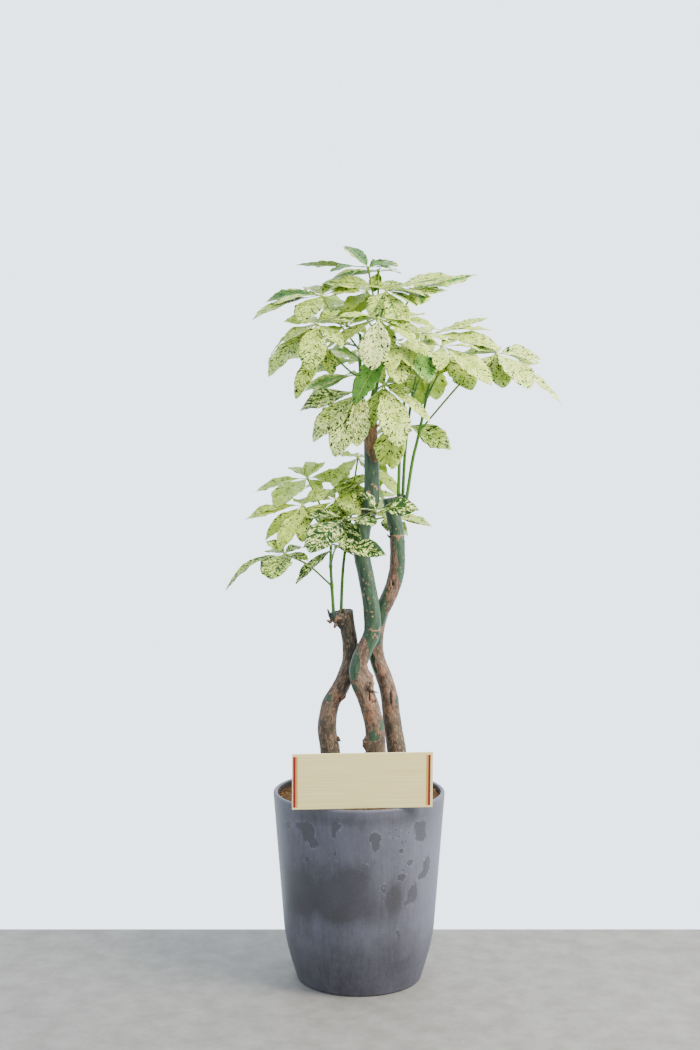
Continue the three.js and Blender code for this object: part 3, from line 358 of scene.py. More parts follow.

# Skin of the trunks, in millimetres: the height where cork gives way to green; patches
# [x, y, z, reach, change], greener above 0 and corkier below; how grey the cork is at each height; and
# marks as seen from the front, [x, z, half across, half tall, strength]
# The gap marks are near-black painted shade in gaps and cracks, which are also sunk into the bark
SKIN = {
    "left": {
        "green_from": 640, "fade": 27.5, "most": 0.34,
        "patches": [[-61, -18, 562, 13, 0.5], [-20, 0, 610, 9, 0.3]],
        "grey": ([380, 450, 520, 560, 600, 650, 730], [1, 0.9, 0.6, 0.35, 0.45, 1, 1]),
        "scars": [
            [-46, 712, 2.5, 5, 1], [-38, 716, 5, 2, 0.9], [-27, 718, 2, 4, 0.8], [-33, 704, 4, 1.5, 0.8],
        ],
        "gaps": [[-52, 706, 3, 5, 1], [-41, 700, 4, 3, 0.9], [-34, 728, 3, 3, 1], [-38, 556, 3, 9, 0.6]],
        "peels_and_light": [[-72, 530, 3, 12, 1], [-56, 475, 4, 10, 0.8], [-47, 565, 9, 16, 0.6]],
    },
    "centre": {
        "green_from": 640, "fade": 15, "most": 0.85,
        "patches": [
            [27, -14, 1090, 24, -1.2], [28, -14, 1060, 19, -1.2], [31, -14, 1036, 11, -0.9],
            [15, -22, 953, 9, -0.7], [3, -33, 669, 11, -1.0], [7, -36, 652, 11, -1.1],
            [12, -38, 636, 11, -1.1], [25, -28, 650, 8, 0.7], [18, -28, 638, 6, 0.5],
            [-9, -30, 640, 16, 0.9], [-14, -34, 615, 14, 0.9], [-12, -38, 580, 9, 0.7],
            [42, -34, 544, 10, 0.42], [46, -34, 511, 10, 0.46], [33, -42, 492, 14, 0.4],
            [22, -42, 486, 9, 0.34],
        ],
        "grey": ([380, 430, 500, 560, 640, 1128], [0.7, 0.55, 0.3, 0.1, 0, 0.15]),
        "scars": [
            [25, 979, 3.5, 1.3, 1], [31, 975, 3.5, 1.8, 1], [35, 970, 2, 3, 1], [18, 964, 4.5, 4, 0.8],
            [13, 954, 3, 8, 0.7], [23, 697, 2, 2, 1], [28, 694, 4, 1.3, 1], [35, 694, 4, 1.3, 1],
            [39.5, 697, 1.6, 3, 1], [31, 685, 2.6, 1.6, 1], [27, 681, 1.4, 3, 1], [35, 681, 1.4, 3, 1],
            [8, 793, 1.7, 3.5, 1], [13, 787, 1.4, 2.4, 1], [10, 776, 1.3, 2.2, 1], [9, 763, 1.3, 3, 1],
            [17, 757, 1.6, 3.2, 1], [20, 748, 1.5, 2, 1], [15, 733, 1.6, 1.8, 0.9], [24, 731, 4, 1.3, 0.9],
            [26, 722, 2.4, 2.2, 0.9],
        ],
        "gaps": [
            [9, 929, 6, 3.5, 1.1], [17, 925, 7, 3.5, 1.1], [27, 923, 6, 3, 1], [20, 584, 1.5, 7, 1.4],
            [20, 574, 1.5, 8, 1.4], [20, 563, 1.3, 6, 1.3], [27, 556, 3, 3, 0.6],
        ],
        # The peel at z 1085 is also painted light, on cork that the leaves above shade
        "peels_and_light": [[24, 545, 6, 26, 1], [12, 520, 5, 9, 0.4], [26, 1085, 11, 36, 1]],
    },
    "right": {
        "green_from": 700, "fade": 20, "most": 0.85,
        "patches": [
            [61, 3, 868, 8, -1.0], [62, 3, 848, 11, -1.1], [64, 3, 825, 13, -1.1], [62, 3, 797, 14, -1.1],
            [68, 3, 774, 14, -1.1], [66, 5, 753, 12, -1.1], [59, 7, 730, 8, -1.0], [42, 8, 756, 9, 0.8],
            [46, 5, 732, 9, 0.9], [44, 8, 712, 8, 0.7], [28, 8, 715, 14, 0.8], [34, 10, 672, 12, 0.6],
            [24, 12, 632, 9, 0.8], [24, 12, 606, 12, 0.9], [66, 6, 610, 9, 0.5], [78, 8, 550, 7, 0.8],
            [72, 8, 585, 8, 0.4],
        ],
        "grey": ([380, 470, 530, 600, 960], [0.9, 0.75, 0.3, 0.1, 0]),
        "scars": [
            [68, 878, 4, 1.8, 1], [76, 876, 4, 3, 1], [84, 878, 4, 1.8, 1], [77, 871, 2, 4, 0.9],
            [72, 891, 1.6, 1.6, 1], [67, 796, 2, 5, 1], [63, 784, 2, 6, 1], [59, 774, 1.8, 5, 1],
            [54, 763, 1.8, 5, 0.9],
        ],
        "gaps": [
            [62, 560, 1.6, 8, 1.2], [63, 549, 1.5, 7, 1.2], [66, 783, 2, 5, 0.9], [60, 953, 14, 3, 0.5],
        ],
        "peels_and_light": [[48, 611, 5, 14, 1], [67, 552, 5, 14, 0.9], [64, 532, 6, 5, 1], [84, 462, 3, 5, 0.6]],
    },
}

# Stubs, thorns and buds: [foot, tip, foot radius, tip radius, green], in millimetres
STUBS = {
    "left": [
        [[-55, 0, 716], [-62, -5, 733], 4, 1.5, 0.7], [[-50, -4, 716], [-51, -9, 731], 4.5, 2.5, 0.8],
        [[-42, -3, 716], [-41, -8, 729], 3.5, 1.5, 0.6], [[-56, -2, 708], [-64, -7, 712], 4, 1, 0.1],
        [[-46, -4, 703], [-49, -12, 697], 4, 1.5, 0.0], [[-30, 4, 722], [-29, 1, 734], 4, 2.5, 0.0],
        [[-38, 0, 722], [-38, -4, 733], 3, 1.5, 0.1], [[-36, 4, 712], [-44, -7, 718], 3, 1.2, 0.1],
        [[-43, -2, 478], [-37, -8, 472], 4, 1.6, 0.0], [[-74, -4, 412], [-82, -6, 417], 2, 0.7, 0.0],
    ],
    "centre": [
        [[17, -38, 578], [22, -44.5, 592], 3, 2.6, 0.0], [[22, -42, 591], [23, -45, 596], 3.2, 2.6, 0.0],
        [[22, -36, 578], [37, -34, 573], 2.6, 1.1, 0.0], [[18, -30, 474], [8, -36, 476], 4, 2.4, 0.0],
        [[31, -30, 560], [33, -38, 556], 3, 1.2, 0.0], [[14, -14, 1116], [9, -17, 1122], 5, 2, 0.2],
        [[26, -8, 1112], [31, -13, 1120], 5, 2, 0.3],
    ],
    "right": [
        [[80, 12, 950], [80, 4, 960], 4.5, 2, 0.8], [[88, 8, 950], [91, 2, 958], 4, 1.8, 0.7],
        [[90, 14, 948], [99, 8, 946], 3.5, 1.2, 0.0], [[80, 8, 944], [78, 1, 950], 3.5, 1.5, 0.1],
        [[50, 14, 756], [44, 10, 760], 2.4, 1, 0.0], [[80, 14, 860], [90, 8, 866], 4, 1.6, 0.9],
        [[60, 14, 874], [55, 8, 880], 2.4, 0.9, 0.0],
    ],
}

# Marks on the front of the pot, [x, z, half across, half tall, strength] in millimetres: bare patches
# with a torn pale edge, places where the bloom, painted light and painted shade are stronger or weaker,
# and places with dried drops
POT_MARKS = {
    "bare": [
        [-107, 335, 17, 7, 1], [-98, 318, 12, 13, 1], [-86, 302, 7, 8, 0.9], [-137, 326, 5, 8, 0.9],
        [-44, 342, 9, 9, 1], [-49, 326, 4, 8, 0.9], [29, 321, 12, 9, 1], [31, 304, 7, 9, 0.9],
        [115, 333, 12, 9, 1], [118, 311, 11, 12, 1], [130, 252, 7, 15, 1], [120, 232, 10, 7, 0.9],
        [103, 206, 6, 14, 1], [81, 238, 10, 8, 0.9], [79, 290, 4, 6, 0.9], [-47, 289, 3, 6, 0.9],
        [-99, 270, 3.5, 5, 0.9], [45, 220, 5, 14, 0.8], [99, 196, 8, 12, 0.8], [88, 184, 5, 4, 0.8],
        [74, 128, 5, 7, 0.9], [95, 264, 7, 6, 0.9], [-129, 254, 3, 4, 0.8],
    ],
    "bloom_and_shading": [
        # Painted among these: a lighter right edge at x 135, a darker left edge at x -150, the card's
        # shadow at z 352
        [-50, 195, 88, 45, -0.62], [-11, 246, 26, 22, -0.4], [-112, 206, 22, 36, -0.3],
        [66, 199, 11, 24, -0.6], [-83, 160, 8, 50, 0.3], [135, 200, 26, 120, 0.55],
        [-4, 140, 110, 14, 0.18], [-4, 40, 150, 52, -0.3], [0, 352, 130, 9, -0.25],
        [70, 280, 60, 60, 0.25], [-70, 290, 60, 40, 0.12], [-150, 200, 14, 120, -0.2],
    ],
    "drops": [
        [66, 324, 12, 10, 1], [90, 314, 14, 14, 1], [24, 273, 20, 7, 1], [90, 258, 20, 16, 1],
        [44, 208, 9, 20, 0.9], [94, 184, 14, 12, 1], [-50, 276, 12, 8, 0.8], [76, 130, 10, 10, 0.8],
        [-110, 262, 16, 8, 0.6],
    ],
}

FLOAT = "NodeSocketFloat"
WHOLE = "NodeSocketInt"
MATERIAL = "NodeSocketMaterial"


# ---------------------------------------------------------------- drawing node trees
class Flow:
    """What comes out of a node. Arithmetic on it draws the next node of the same tree."""

    def __init__(self, tree, socket):
        self.tree = tree
        self.socket = socket

    def __abs__(self):
        return maths("ABSOLUTE", self)


def give_sign(sign, operation):
    """Lets a sign of arithmetic draw its node, with the Flow on either side of it."""
    setattr(Flow, f"__{sign}__", lambda self, other: maths(operation, self, other))
    setattr(Flow, f"__r{sign}__", lambda self, other: maths(operation, other, self))


SIGNS = {"add": "ADD", "sub": "SUBTRACT", "mul": "MULTIPLY", "truediv": "DIVIDE", "pow": "POWER"}
for sign, operation in SIGNS.items():
    give_sign(sign, operation)


def draw(tree, kind, inputs=None, output=0, **settings):
    """Adds a node, sets it up, joins its inputs, and gives one of its outputs."""
    node = tree.nodes.new(kind)
    for name, value in settings.items():
        setattr(node, name, value)
    for name, value in (inputs or {}).items():
        if isinstance(value, Flow):
            tree.links.new(value.socket, node.inputs[name])
        else:
            node.inputs[name].default_value = value
    return Flow(tree, node.outputs[output])


def tree_of(values):
    return next(value.tree for value in values if isinstance(value, Flow))


def maths(operation, *values):
    return draw(tree_of(values), "ShaderNodeMath", dict(enumerate(values)), operation=operation)


def vector_maths(operation, inputs):
    return draw(tree_of(inputs.values()), "ShaderNodeVectorMath", inputs, operation=operation)


sine, cosine, sign_of, fraction, larger, smaller, above = (
    partial(maths, operation)
    for operation in ("SINE", "COSINE", "SIGN", "FRACT", "MAXIMUM", "MINIMUM", "GREATER_THAN")
)


def place(x, y, z):
    return draw(tree_of((x, y, z)), "ShaderNodeCombineXYZ", {"X": x, "Y": y, "Z": z})


def parts(flow):
    node = draw(flow.tree, "ShaderNodeSeparateXYZ", {"Vector": flow}).socket.node
    return [Flow(flow.tree, output) for output in node.outputs]


def ramp(value, low, high):
    """0 below low, 1 above high, and a smooth rise between. It falls where high is the lower one."""
    inputs = {"Value": value, "From Min": low, "From Max": high}
    return draw(value.tree, "ShaderNodeMapRange", inputs, interpolation_type="SMOOTHSTEP")


def noise(where, detail=2.0, roughness=0.5, scale=1.0):
    inputs = {"Vector": where, "Scale": scale, "Detail": detail, "Roughness": roughness}
    return draw(where.tree, "ShaderNodeTexNoise", inputs)


def stretched(where, x, y, z):
    """A place measured in steps of its own along each axis."""
    return vector_maths("MULTIPLY", {0: where, 1: (1 / x, 1 / y, 1 / z)})


def figure(where, steps, detail=2.0, roughness=0.5):
    """Noise whose steps along each axis are given in millimetres."""
    return noise(stretched(where, *steps), detail, roughness)


def cells(where, wander):
    """A random value from 0 to 1 for each irregular cell, about one unit across."""
    stray = {0: noise(where, 3, scale=1.3), 1: (wander, wander, 0), 2: where}
    sizes = {"Vector": vector_maths("MULTIPLY_ADD", stray), "Scale": 1.0}
    return parts(draw(where.tree, "ShaderNodeTexVoronoi", sizes, output=1))[0]


# ---------------------------------------------------------------- materials
def linear(red, green, blue):
    """A colour as a screen shows it, 0 to 255, in the linear values that shaders use."""
    return [((value / 255 + 0.055) / 1.055) ** 2.4 for value in (red, green, blue)] + [1]


def blend(share, first, second):
    """first where share is 0, second where it is 1. A tuple is a colour as a screen shows it."""
    inputs = {0: share}
    for socket, colour in ((6, first), (7, second)):
        inputs[socket] = linear(*colour) if isinstance(colour, tuple) else colour
    return draw(share.tree, "ShaderNodeMix", inputs, output=2, data_type="RGBA")


def coated(ground, **coats):
    """Lays coats over a ground in turn, each given as where it shows and its colour."""
    for name, (share, colour) in coats.items():
        ground = blend(share, ground, colour)
        ground.socket.node.label = name
    return ground


class Finish:
    """A material with one Principled shader, whose sockets are set by name."""

    def __init__(self, name):
        self.material = bpy.data.materials.new(name)
        self.material.use_nodes = True
        self.tree = self.material.node_tree
        self.shader = self.tree.nodes["Principled BSDF"]

    def local(self):
        """Place on the object, in millimetres."""
        coordinates = draw(self.tree, "ShaderNodeTexCoord", output="Object")
        return vector_maths("SCALE", {0: coordinates, "Scale": 1 / MM})

    def painted(self, name):
        """The three values that the mesh carries under a name."""
        return parts(self.carried(name))

    def carried(self, name):
        return draw(self.tree, "ShaderNodeAttribute", output="Vector", attribute_name=name)

    def done(self, relief, **sockets):
        """Sets the shader's sockets, and relief as (height, strength, depth in millimetres)."""
        if relief:
            height, strength, depth = relief
            inputs = {"Height": height, "Strength": strength, "Distance": depth * MM}
            sockets["Normal"] = draw(self.tree, "ShaderNodeBump", inputs)
        for name, value in sockets.items():
            socket = self.shader.inputs[name.replace("_", " ")]
            if isinstance(value, Flow):
                self.tree.links.new(value.socket, socket)
            else:
                socket.default_value = value
        return self.material


def leaf_finish():
    """Cream and yellow-green, with near-black specks, and green patches with jags along the veins."""
    finish = Finish("leaf_speckled")
    across, along, seed = finish.painted("blade")
    speck, patch, white = finish.painted("look")
    edge, side, _ = finish.painted("edge")
    from_rib = abs(across)
    vein = along - 0.8 * from_rib
    flank = sign_of(across)
    flank_shift = flank * 40

    def marks(vein_step, rib_step, shift):
        """A place measured along the veins and off the rib, apart for each flank and each leaflet."""
        return place(vein / vein_step, from_rib / rib_step + flank_shift, seed + shift)

    streak = noise(marks(2.8, 14, 9), 3, 0.6)
    broad = noise(place(across / 15, along / 22, seed + 4), 1)
    crowd = noise(place(across / 9, along / 12, seed + 31))
    olive = blend(ramp(streak, 0.35, 0.65), (146, 168, 54), (178, 198, 76))
    cream = blend(ramp(streak, 0.3, 0.6), (184, 204, 88), (212, 227, 126))
    off_vein = abs(fraction(vein / 7.5 + seed) - 0.5)
    mottled = above(cells(marks(2.2, 4.0, 3), 0.9), 0.88 - speck * 0.2)
    ground = coated(
        blend(ramp(white + (broad - 0.5) * 1.6, 0.0, 0.8), olive, cream),
        palest=(ramp(white + (broad - 0.5) * 0.6, 0.55, 0.95) * 0.75, (226, 234, 158)),
        veins=(ramp(off_vein, 0.07, 0.0) * 0.25, (206, 222, 104)),
        mottle=(mottled * (0.08 + crowd * 0.45) * (1 - white * 0.5), (100, 136, 48)),
    )
    one_sided = flank * sine(seed * 5) * patch * 0.45
    jags = (broad - 0.5) * (0.4 + patch) + (streak - 0.5) * (0.5 + patch * 0.8)
    reach = patch * 1.4 - 0.25 - edge * 0.75 + one_sided + jags
    green = blend(ramp(streak, 0.36, 0.62), (44, 86, 24), (74, 122, 40))
    green = blend(ramp(white, 0.45, 0.6) * 0.7, green, (126, 174, 76))
    marble = cells(marks(3.6, 7.5, 41), 1.1)
    marbled = above(marble, 1 - ramp(speck, 0.84, 1.0) * (0.16 + crowd * 0.76))
    density = smaller(speck * speck, 0.7) * 0.6 * ramp(crowd, 0.22, 0.55)
    fine = cells(marks(1.8, 2.4, 12), 0.7)
    coarse = cells(marks(2.9, 4.0, 23), 0.9)
    fine_tone = blend(above(fine, 0.93), (40, 72, 26), (14, 30, 14))
    coarse_tone = blend(above(coarse, 0.93), (40, 74, 26), (14, 32, 14))
    colour = coated(
        ground,
        green_patch=(ramp(reach, 0.2, 0.23), green),
        marbling=(marbled, blend(ramp(crowd, 0.3, 0.7), (44, 84, 26), (22, 56, 16))),
        fine_specks=(above(fine, 1 - density), fine_tone),
        coarse_specks=(above(coarse, 1 - density * 0.7), coarse_tone),
        margin=(ramp(edge + (streak - 0.5) * 0.12, 0.955, 0.99) * 0.3, (96, 132, 48)),
        rib=(ramp(from_rib, 0.9, 0.4) * 0.6, (170, 190, 84)),
        # Undersides are paler, and lightened further as painted fill light on blades that face down
        underside=(ramp(side, 0.1, -0.1) * 0.4, (204, 218, 140)),
    )
    return finish.done(
        (ramp(off_vein, 0.0, 0.25) + streak * 0.6, 0.35, 0.5),
        Base_Color=colour, Roughness=0.5, Specular_IOR_Level=0.18,
        Subsurface_Weight=0.4, Subsurface_Radius=(0.8, 1.0, 0.35), Subsurface_Scale=0.001,
    )


def shoot_finish():
    """Fresh green shoots and stalks, paler and more olive toward the leaf."""
    finish = Finish("shoot_green")
    where = finish.local()
    _, _, age = finish.painted("skin")
    streaks = figure(where, (1.2, 1.2, 14))
    spots = figure(where, (1.6, 1.6, 2.4))
    colour = coated(
        blend(age, (120, 140, 46), (76, 120, 30)),
        streaks=(ramp(streaks, 0.4, 0.75), blend(age, (94, 120, 36), (48, 88, 22))),
        spots=(ramp(spots, 0.66, 0.72) * 0.4, (140, 156, 78)),
    )
    return finish.done((streaks, 0.25, 0.3), Base_Color=colour, Roughness=0.4, Specular_IOR_Level=0.3)


def bark_finish():
    """Grey-brown cork with fissures up the trunk, over smooth green skin with pinkish scars."""
    finish = Finish("trunk_bark")
    where = finish.carried("grain")
    green, dark, cut = finish.painted("skin")
    weathered, scar, peel_and_light = finish.painted("wear")
    torn = figure(where, (6, 6, 13), 5, 0.68)
    level = green + (torn - 0.5) * 0.8
    skin = ramp(level, 0.48, 0.51)

    broad = figure(where, (11, 11, 24), 4, 0.6)
    plates = cells(stretched(where, 2.6, 2.6, 7.5), 1.2)
    chips = cells(stretched(where, 1.4, 1.4, 2.6), 1.0)
    fissure = figure(where, (1.7, 1.7, 11), 5, 0.7)
    brown = blend(ramp(broad, 0.32, 0.66), (84, 66, 52), (128, 102, 84))
    # Peeled cork is paler and pinker; the peel high on the centre trunk also stands in for light
    brown = blend(ramp(broad + peel_and_light * 0.5, 0.58, 0.72), brown, (142, 100, 76))
    grey = blend(ramp(broad, 0.34, 0.64), (54, 50, 40), (84, 76, 62))
    cork = coated(
        blend(smaller(weathered, 1), brown, grey),
        pale_plates=(ramp(plates, 0.72, 0.8) * 0.5, (146, 118, 96)),
        dark_plates=(ramp(plates, 0.22, 0.14) * 0.55, (52, 42, 33)),
        chips=(above(chips, 0.9) * 0.6, (36, 28, 22)),
        fissures=(ramp(fissure, 0.42, 0.35) * 0.85, (36, 28, 23)),
    )

    shade = figure(where, (8, 8, 36), 4, 0.6)
    grain = figure(where, (1.1, 1.1, 6), 3)
    pores = cells(stretched(where, 2.3, 2.3, 2.8), 0.6)
    grouped = ramp(figure(where, (14, 14, 26), 1), 0.5, 0.64)
    smooth = coated(
        blend(ramp(shade, 0.34, 0.68), (34, 56, 36), (62, 88, 62)),
        greyed=(smaller(weathered * 1.3, 0.75), (40, 60, 54)),
        grain=(ramp(grain, 0.5, 0.72) * 0.4, (76, 98, 74)),
        pores=(above(pores, 1 - grouped * 0.08) * 0.8, (142, 116, 92)),
    )
    rings = figure(where, (3, 3, 3), 4, 0.65)
    colour = coated(
        blend(skin, cork, smooth),
        torn_edge=(ramp(abs(level - 0.47), 0.05, 0.0) * 0.75, (150, 112, 88)),
        scars=(ramp(scar + (fissure - 0.5) * 0.5, 0.42, 0.58), (148, 106, 80)),
        # Painted shade: near black in the sunken gaps and cracks
        gaps=(ramp(dark + (torn - 0.5) * 0.5, 0.4, 0.6), (30, 24, 20)),
        cut_end=(cut, blend(ramp(rings, 0.4, 0.6), (46, 40, 32), (96, 84, 66))),
    )
    rough = fissure * 0.8 + plates * 0.25 + chips * 0.15
    height = rough * (1 - skin) + (1 - skin) * 0.35 + grain * 0.12 + scar * 0.4
    gloss = {"Roughness": 0.66 - skin * 0.2, "Specular_IOR_Level": 0.35}
    return finish.done((height, 0.9, 1.3), Base_Color=colour, **gloss)


def pot_finish():
    """Matte slate-grey under a paler bloom, which water has marked with drips, bare patches and drops. The
    bloom also carries painted light and shade.
    """
    finish = Finish("pot_slate")
    where = finish.local()
    _, _, height = parts(where)
    bare, bloom_and_shading, drops = finish.painted("bloom")
    inside, _, _ = finish.painted("inside")
    warped = figure(where, (45, 45, 70), 3)
    torn = figure(where, (9, 9, 12), 5, 0.62)
    drips = figure(where, (5, 5, 70), 3)
    grit = noise(where, 3, 0.6, 0.45)
    jag = figure(where, (6, 6, 15), 6, 0.7)
    level = bare + (jag - 0.5) * 1.5 + (drips - 0.5) * 0.5
    patch = ramp(level, 0.48, 0.54)
    patch_rim = ramp(abs(level - 0.44), 0.06, 0.0)
    bead = draw(finish.tree, "ShaderNodeTexVoronoi", {"Vector": stretched(where, 7, 7, 9), "Scale": 1.0})
    bead = bead + (torn - 0.5) * 0.35
    beaded = ramp(drops, 0.4, 0.6)
    bead_spot = ramp(bead, 0.3, 0.24) * beaded
    bead_rim = ramp(abs(bead - 0.34), 0.06, 0.0) * beaded
    bloom = 0.5 + (warped - 0.5) * 0.5 + (drips - 0.5) * 0.35 + (torn - 0.5) * 0.4
    # bloom_and_shading is the bloom level with its painted light and shade, such as the card's painted
    # shadow
    soaked = ramp((torn - 0.5) * 0.2 - bloom_and_shading, 0.4, 0.52)
    bloom = larger(bloom + bloom_and_shading, 0) * (1 - soaked * 0.6)
    bloom = bloom * (1 - patch * 0.75) * (1 - bead_spot * 0.7)
    rims = larger(patch_rim * ramp(height, 150, 260), bead_rim) * ramp(torn, 0.4, 0.55)
    colour = coated(
        blend(ramp(warped, 0.3, 0.7), (59, 58, 63), (66, 65, 72)),
        bloom=(smaller(bloom, 1), (106, 106, 121)),
        rims=(rims * 0.55, (132, 132, 148)),
        grit=(ramp(grit, 0.56, 0.7) * 0.14, (140, 140, 150)),
        # The inner wall: soil stain and painted shade, dark brown to near black
        stained_inside=(inside, blend(ramp(torn, 0.35, 0.7), (26, 21, 18), (62, 48, 38))),
    )
    relief = grit * 0.5 - patch * 0.25 - bead_spot * 0.35 + rims * 0.35
    roughness = 0.52 + smaller(bloom, 1) * 0.14
    return finish.done((relief, 0.35, 0.8), Base_Color=colour, Roughness=roughness, Specular_IOR_Level=0.45)


def mulch_finish():
    """Coconut fibre: each strand its own brown."""
    finish = Finish("mulch_fibre")
    tint, _, _ = finish.painted("tint")
    grain = noise(finish.local(), 4, scale=0.8)
    brown = blend(tint ** 1.4, (96, 66, 42), (170, 126, 76))
    colour = blend(ramp(grain, 0.35, 0.65), (58, 40, 26), brown)
    return finish.done((grain, 0.8, 1.5), Base_Color=colour, Roughness=0.9, Specular_IOR_Level=0.2)


def soil_finish():
    finish = Finish("soil_peat")
    crumbs = noise(finish.local(), 5, 0.7, 0.35)
    colour = blend(ramp(crumbs, 0.35, 0.65), (30, 22, 17), (62, 47, 36))
    return finish.done((crumbs, 1.0, 3), Base_Color=colour, Roughness=0.95)


def card_finish():
    """Coated cream board with fine lines across it."""
    finish = Finish("card_cream")
    where = finish.local()
    lines = figure(where, (160, 160, 0.9))
    fibres = figure(where, (30, 30, 2.4), 3)
    colour = coated(
        blend(ramp(lines, 0.3, 0.7), (226, 206, 138), (240, 224, 160)),
        fibres=(ramp(fibres, 0.5, 0.8) * 0.3, (214, 190, 118)),
    )
    return finish.done((lines, 0.1, 0.2), Base_Color=colour, Roughness=0.4, Specular_IOR_Level=0.4)


def foil_finish(name, colour, metallic, roughness):
    """Foil that shines a quarter brighter in places."""
    finish = Finish(name)
    grain = figure(finish.local(), (8, 8, 0.8))
    colour = linear(*colour)
    paler = [min(1.0, value * 1.25) for value in colour[:3]] + [1]
    shine = blend(ramp(grain, 0.3, 0.8), colour, paler)
    return finish.done(None, Base_Color=shine, Metallic=metallic, Roughness=roughness)


def stake_finish():
    finish = Finish("stake_wood")
    grain = figure(finish.local(), (1.2, 1.2, 30), 4)
    colour = blend(ramp(grain, 0.35, 0.65), (168, 134, 92), (212, 184, 140))
    return finish.done((grain, 0.4, 0.4), Base_Color=colour, Roughness=0.65)


def floor_finish():
    """Pale smooth concrete."""
    finish = Finish("floor_pale")
    where = finish.local()
    mottle = figure(where, (60, 60, 60), 6, 0.7)
    grit = noise(where, 3, 0.7, 0.3)
    colour = coated(
        blend(ramp(mottle, 0.3, 0.7), (122, 119, 114), (142, 139, 135)),
        grit=(ramp(grit, 0.4, 0.7) * 0.45, (112, 108, 102)),
    )
    return finish.done(None, Base_Color=colour, Roughness=0.75, Specular_IOR_Level=0.25)


# ---------------------------------------------------------------- Geometry Nodes trees
def shape_tree(name, inputs):
    """A tree with named inputs, and a Flow for each of them."""
    tree = bpy.data.node_groups.new(name, "GeometryNodeTree")
    tree.interface.new_socket("Geometry", in_out="INPUT", socket_type="NodeSocketGeometry")
    for label, kind in inputs.items():
        tree.interface.new_socket(label, in_out="INPUT", socket_type=kind)
    tree.interface.new_socket("Geometry", in_out="OUTPUT", socket_type="NodeSocketGeometry")
    source = tree.nodes.new("NodeGroupInput")
    return tree, {output.name: Flow(tree, output) for output in source.outputs if output.name}


def shaped(kind, inputs, output=0, **settings):
    """A Geometry node in the tree that its inputs come from."""
    return draw(tree_of(inputs.values()), f"GeometryNode{kind}", inputs, output, **settings)


def finish_tree(geometry, material):
    """Ends a tree: smooth shading, instances made real, and the material set."""
    smooth = shaped("SetShadeSmooth", {0: geometry, "Shade Smooth": True})
    real = shaped("RealizeInstances", {"Geometry": smooth})
    done = shaped("SetMaterial", {"Geometry": real, "Material": material})
    output = done.tree.nodes.new("NodeGroupOutput")
    done.tree.links.new(done.socket, output.inputs["Geometry"])
    return done.tree


def read(tree, name, kind="FLOAT_VECTOR"):
    return draw(tree, "GeometryNodeInputNamedAttribute", {"Name": name}, data_type=kind)


def store(geometry, name, value, kind="FLOAT_VECTOR"):
    inputs = {"Geometry": geometry, "Name": name, "Value": value}
    return shaped("StoreNamedAttribute", inputs, data_type=kind, domain="POINT")


def join(*geometries):
    tree = tree_of(geometries)
    node = tree.nodes.new("GeometryNodeJoinGeometry")
    for geometry in geometries:
        tree.links.new(geometry.socket, node.inputs[0])
    return Flow(tree, node.outputs[0])


def grow(name, carrier, tree, settings, finish):
    """Runs a tree on a carrier object and keeps only the plain mesh that it makes."""
    modifier = carrier.modifiers.new("grow", "NODES")
    modifier.node_group = tree
    given = {**settings, "Finish": finish}
    for item in tree.interface.items_tree:
        if item.in_out == "INPUT" and item.name in given:
            modifier[item.identifier] = given[item.name]
    graph = bpy.context.evaluated_depsgraph_get()
    evaluated = carrier.evaluated_get(graph)
    mesh = bpy.data.meshes.new_from_object(evaluated, preserve_all_data_layers=True, depsgraph=graph)
    bpy.data.objects.remove(carrier)
    return piece_of(name, mesh)


def piece_of(name, data):
    piece = bpy.data.objects.new(name, data)
    bpy.context.scene.collection.objects.link(piece)
    return piece


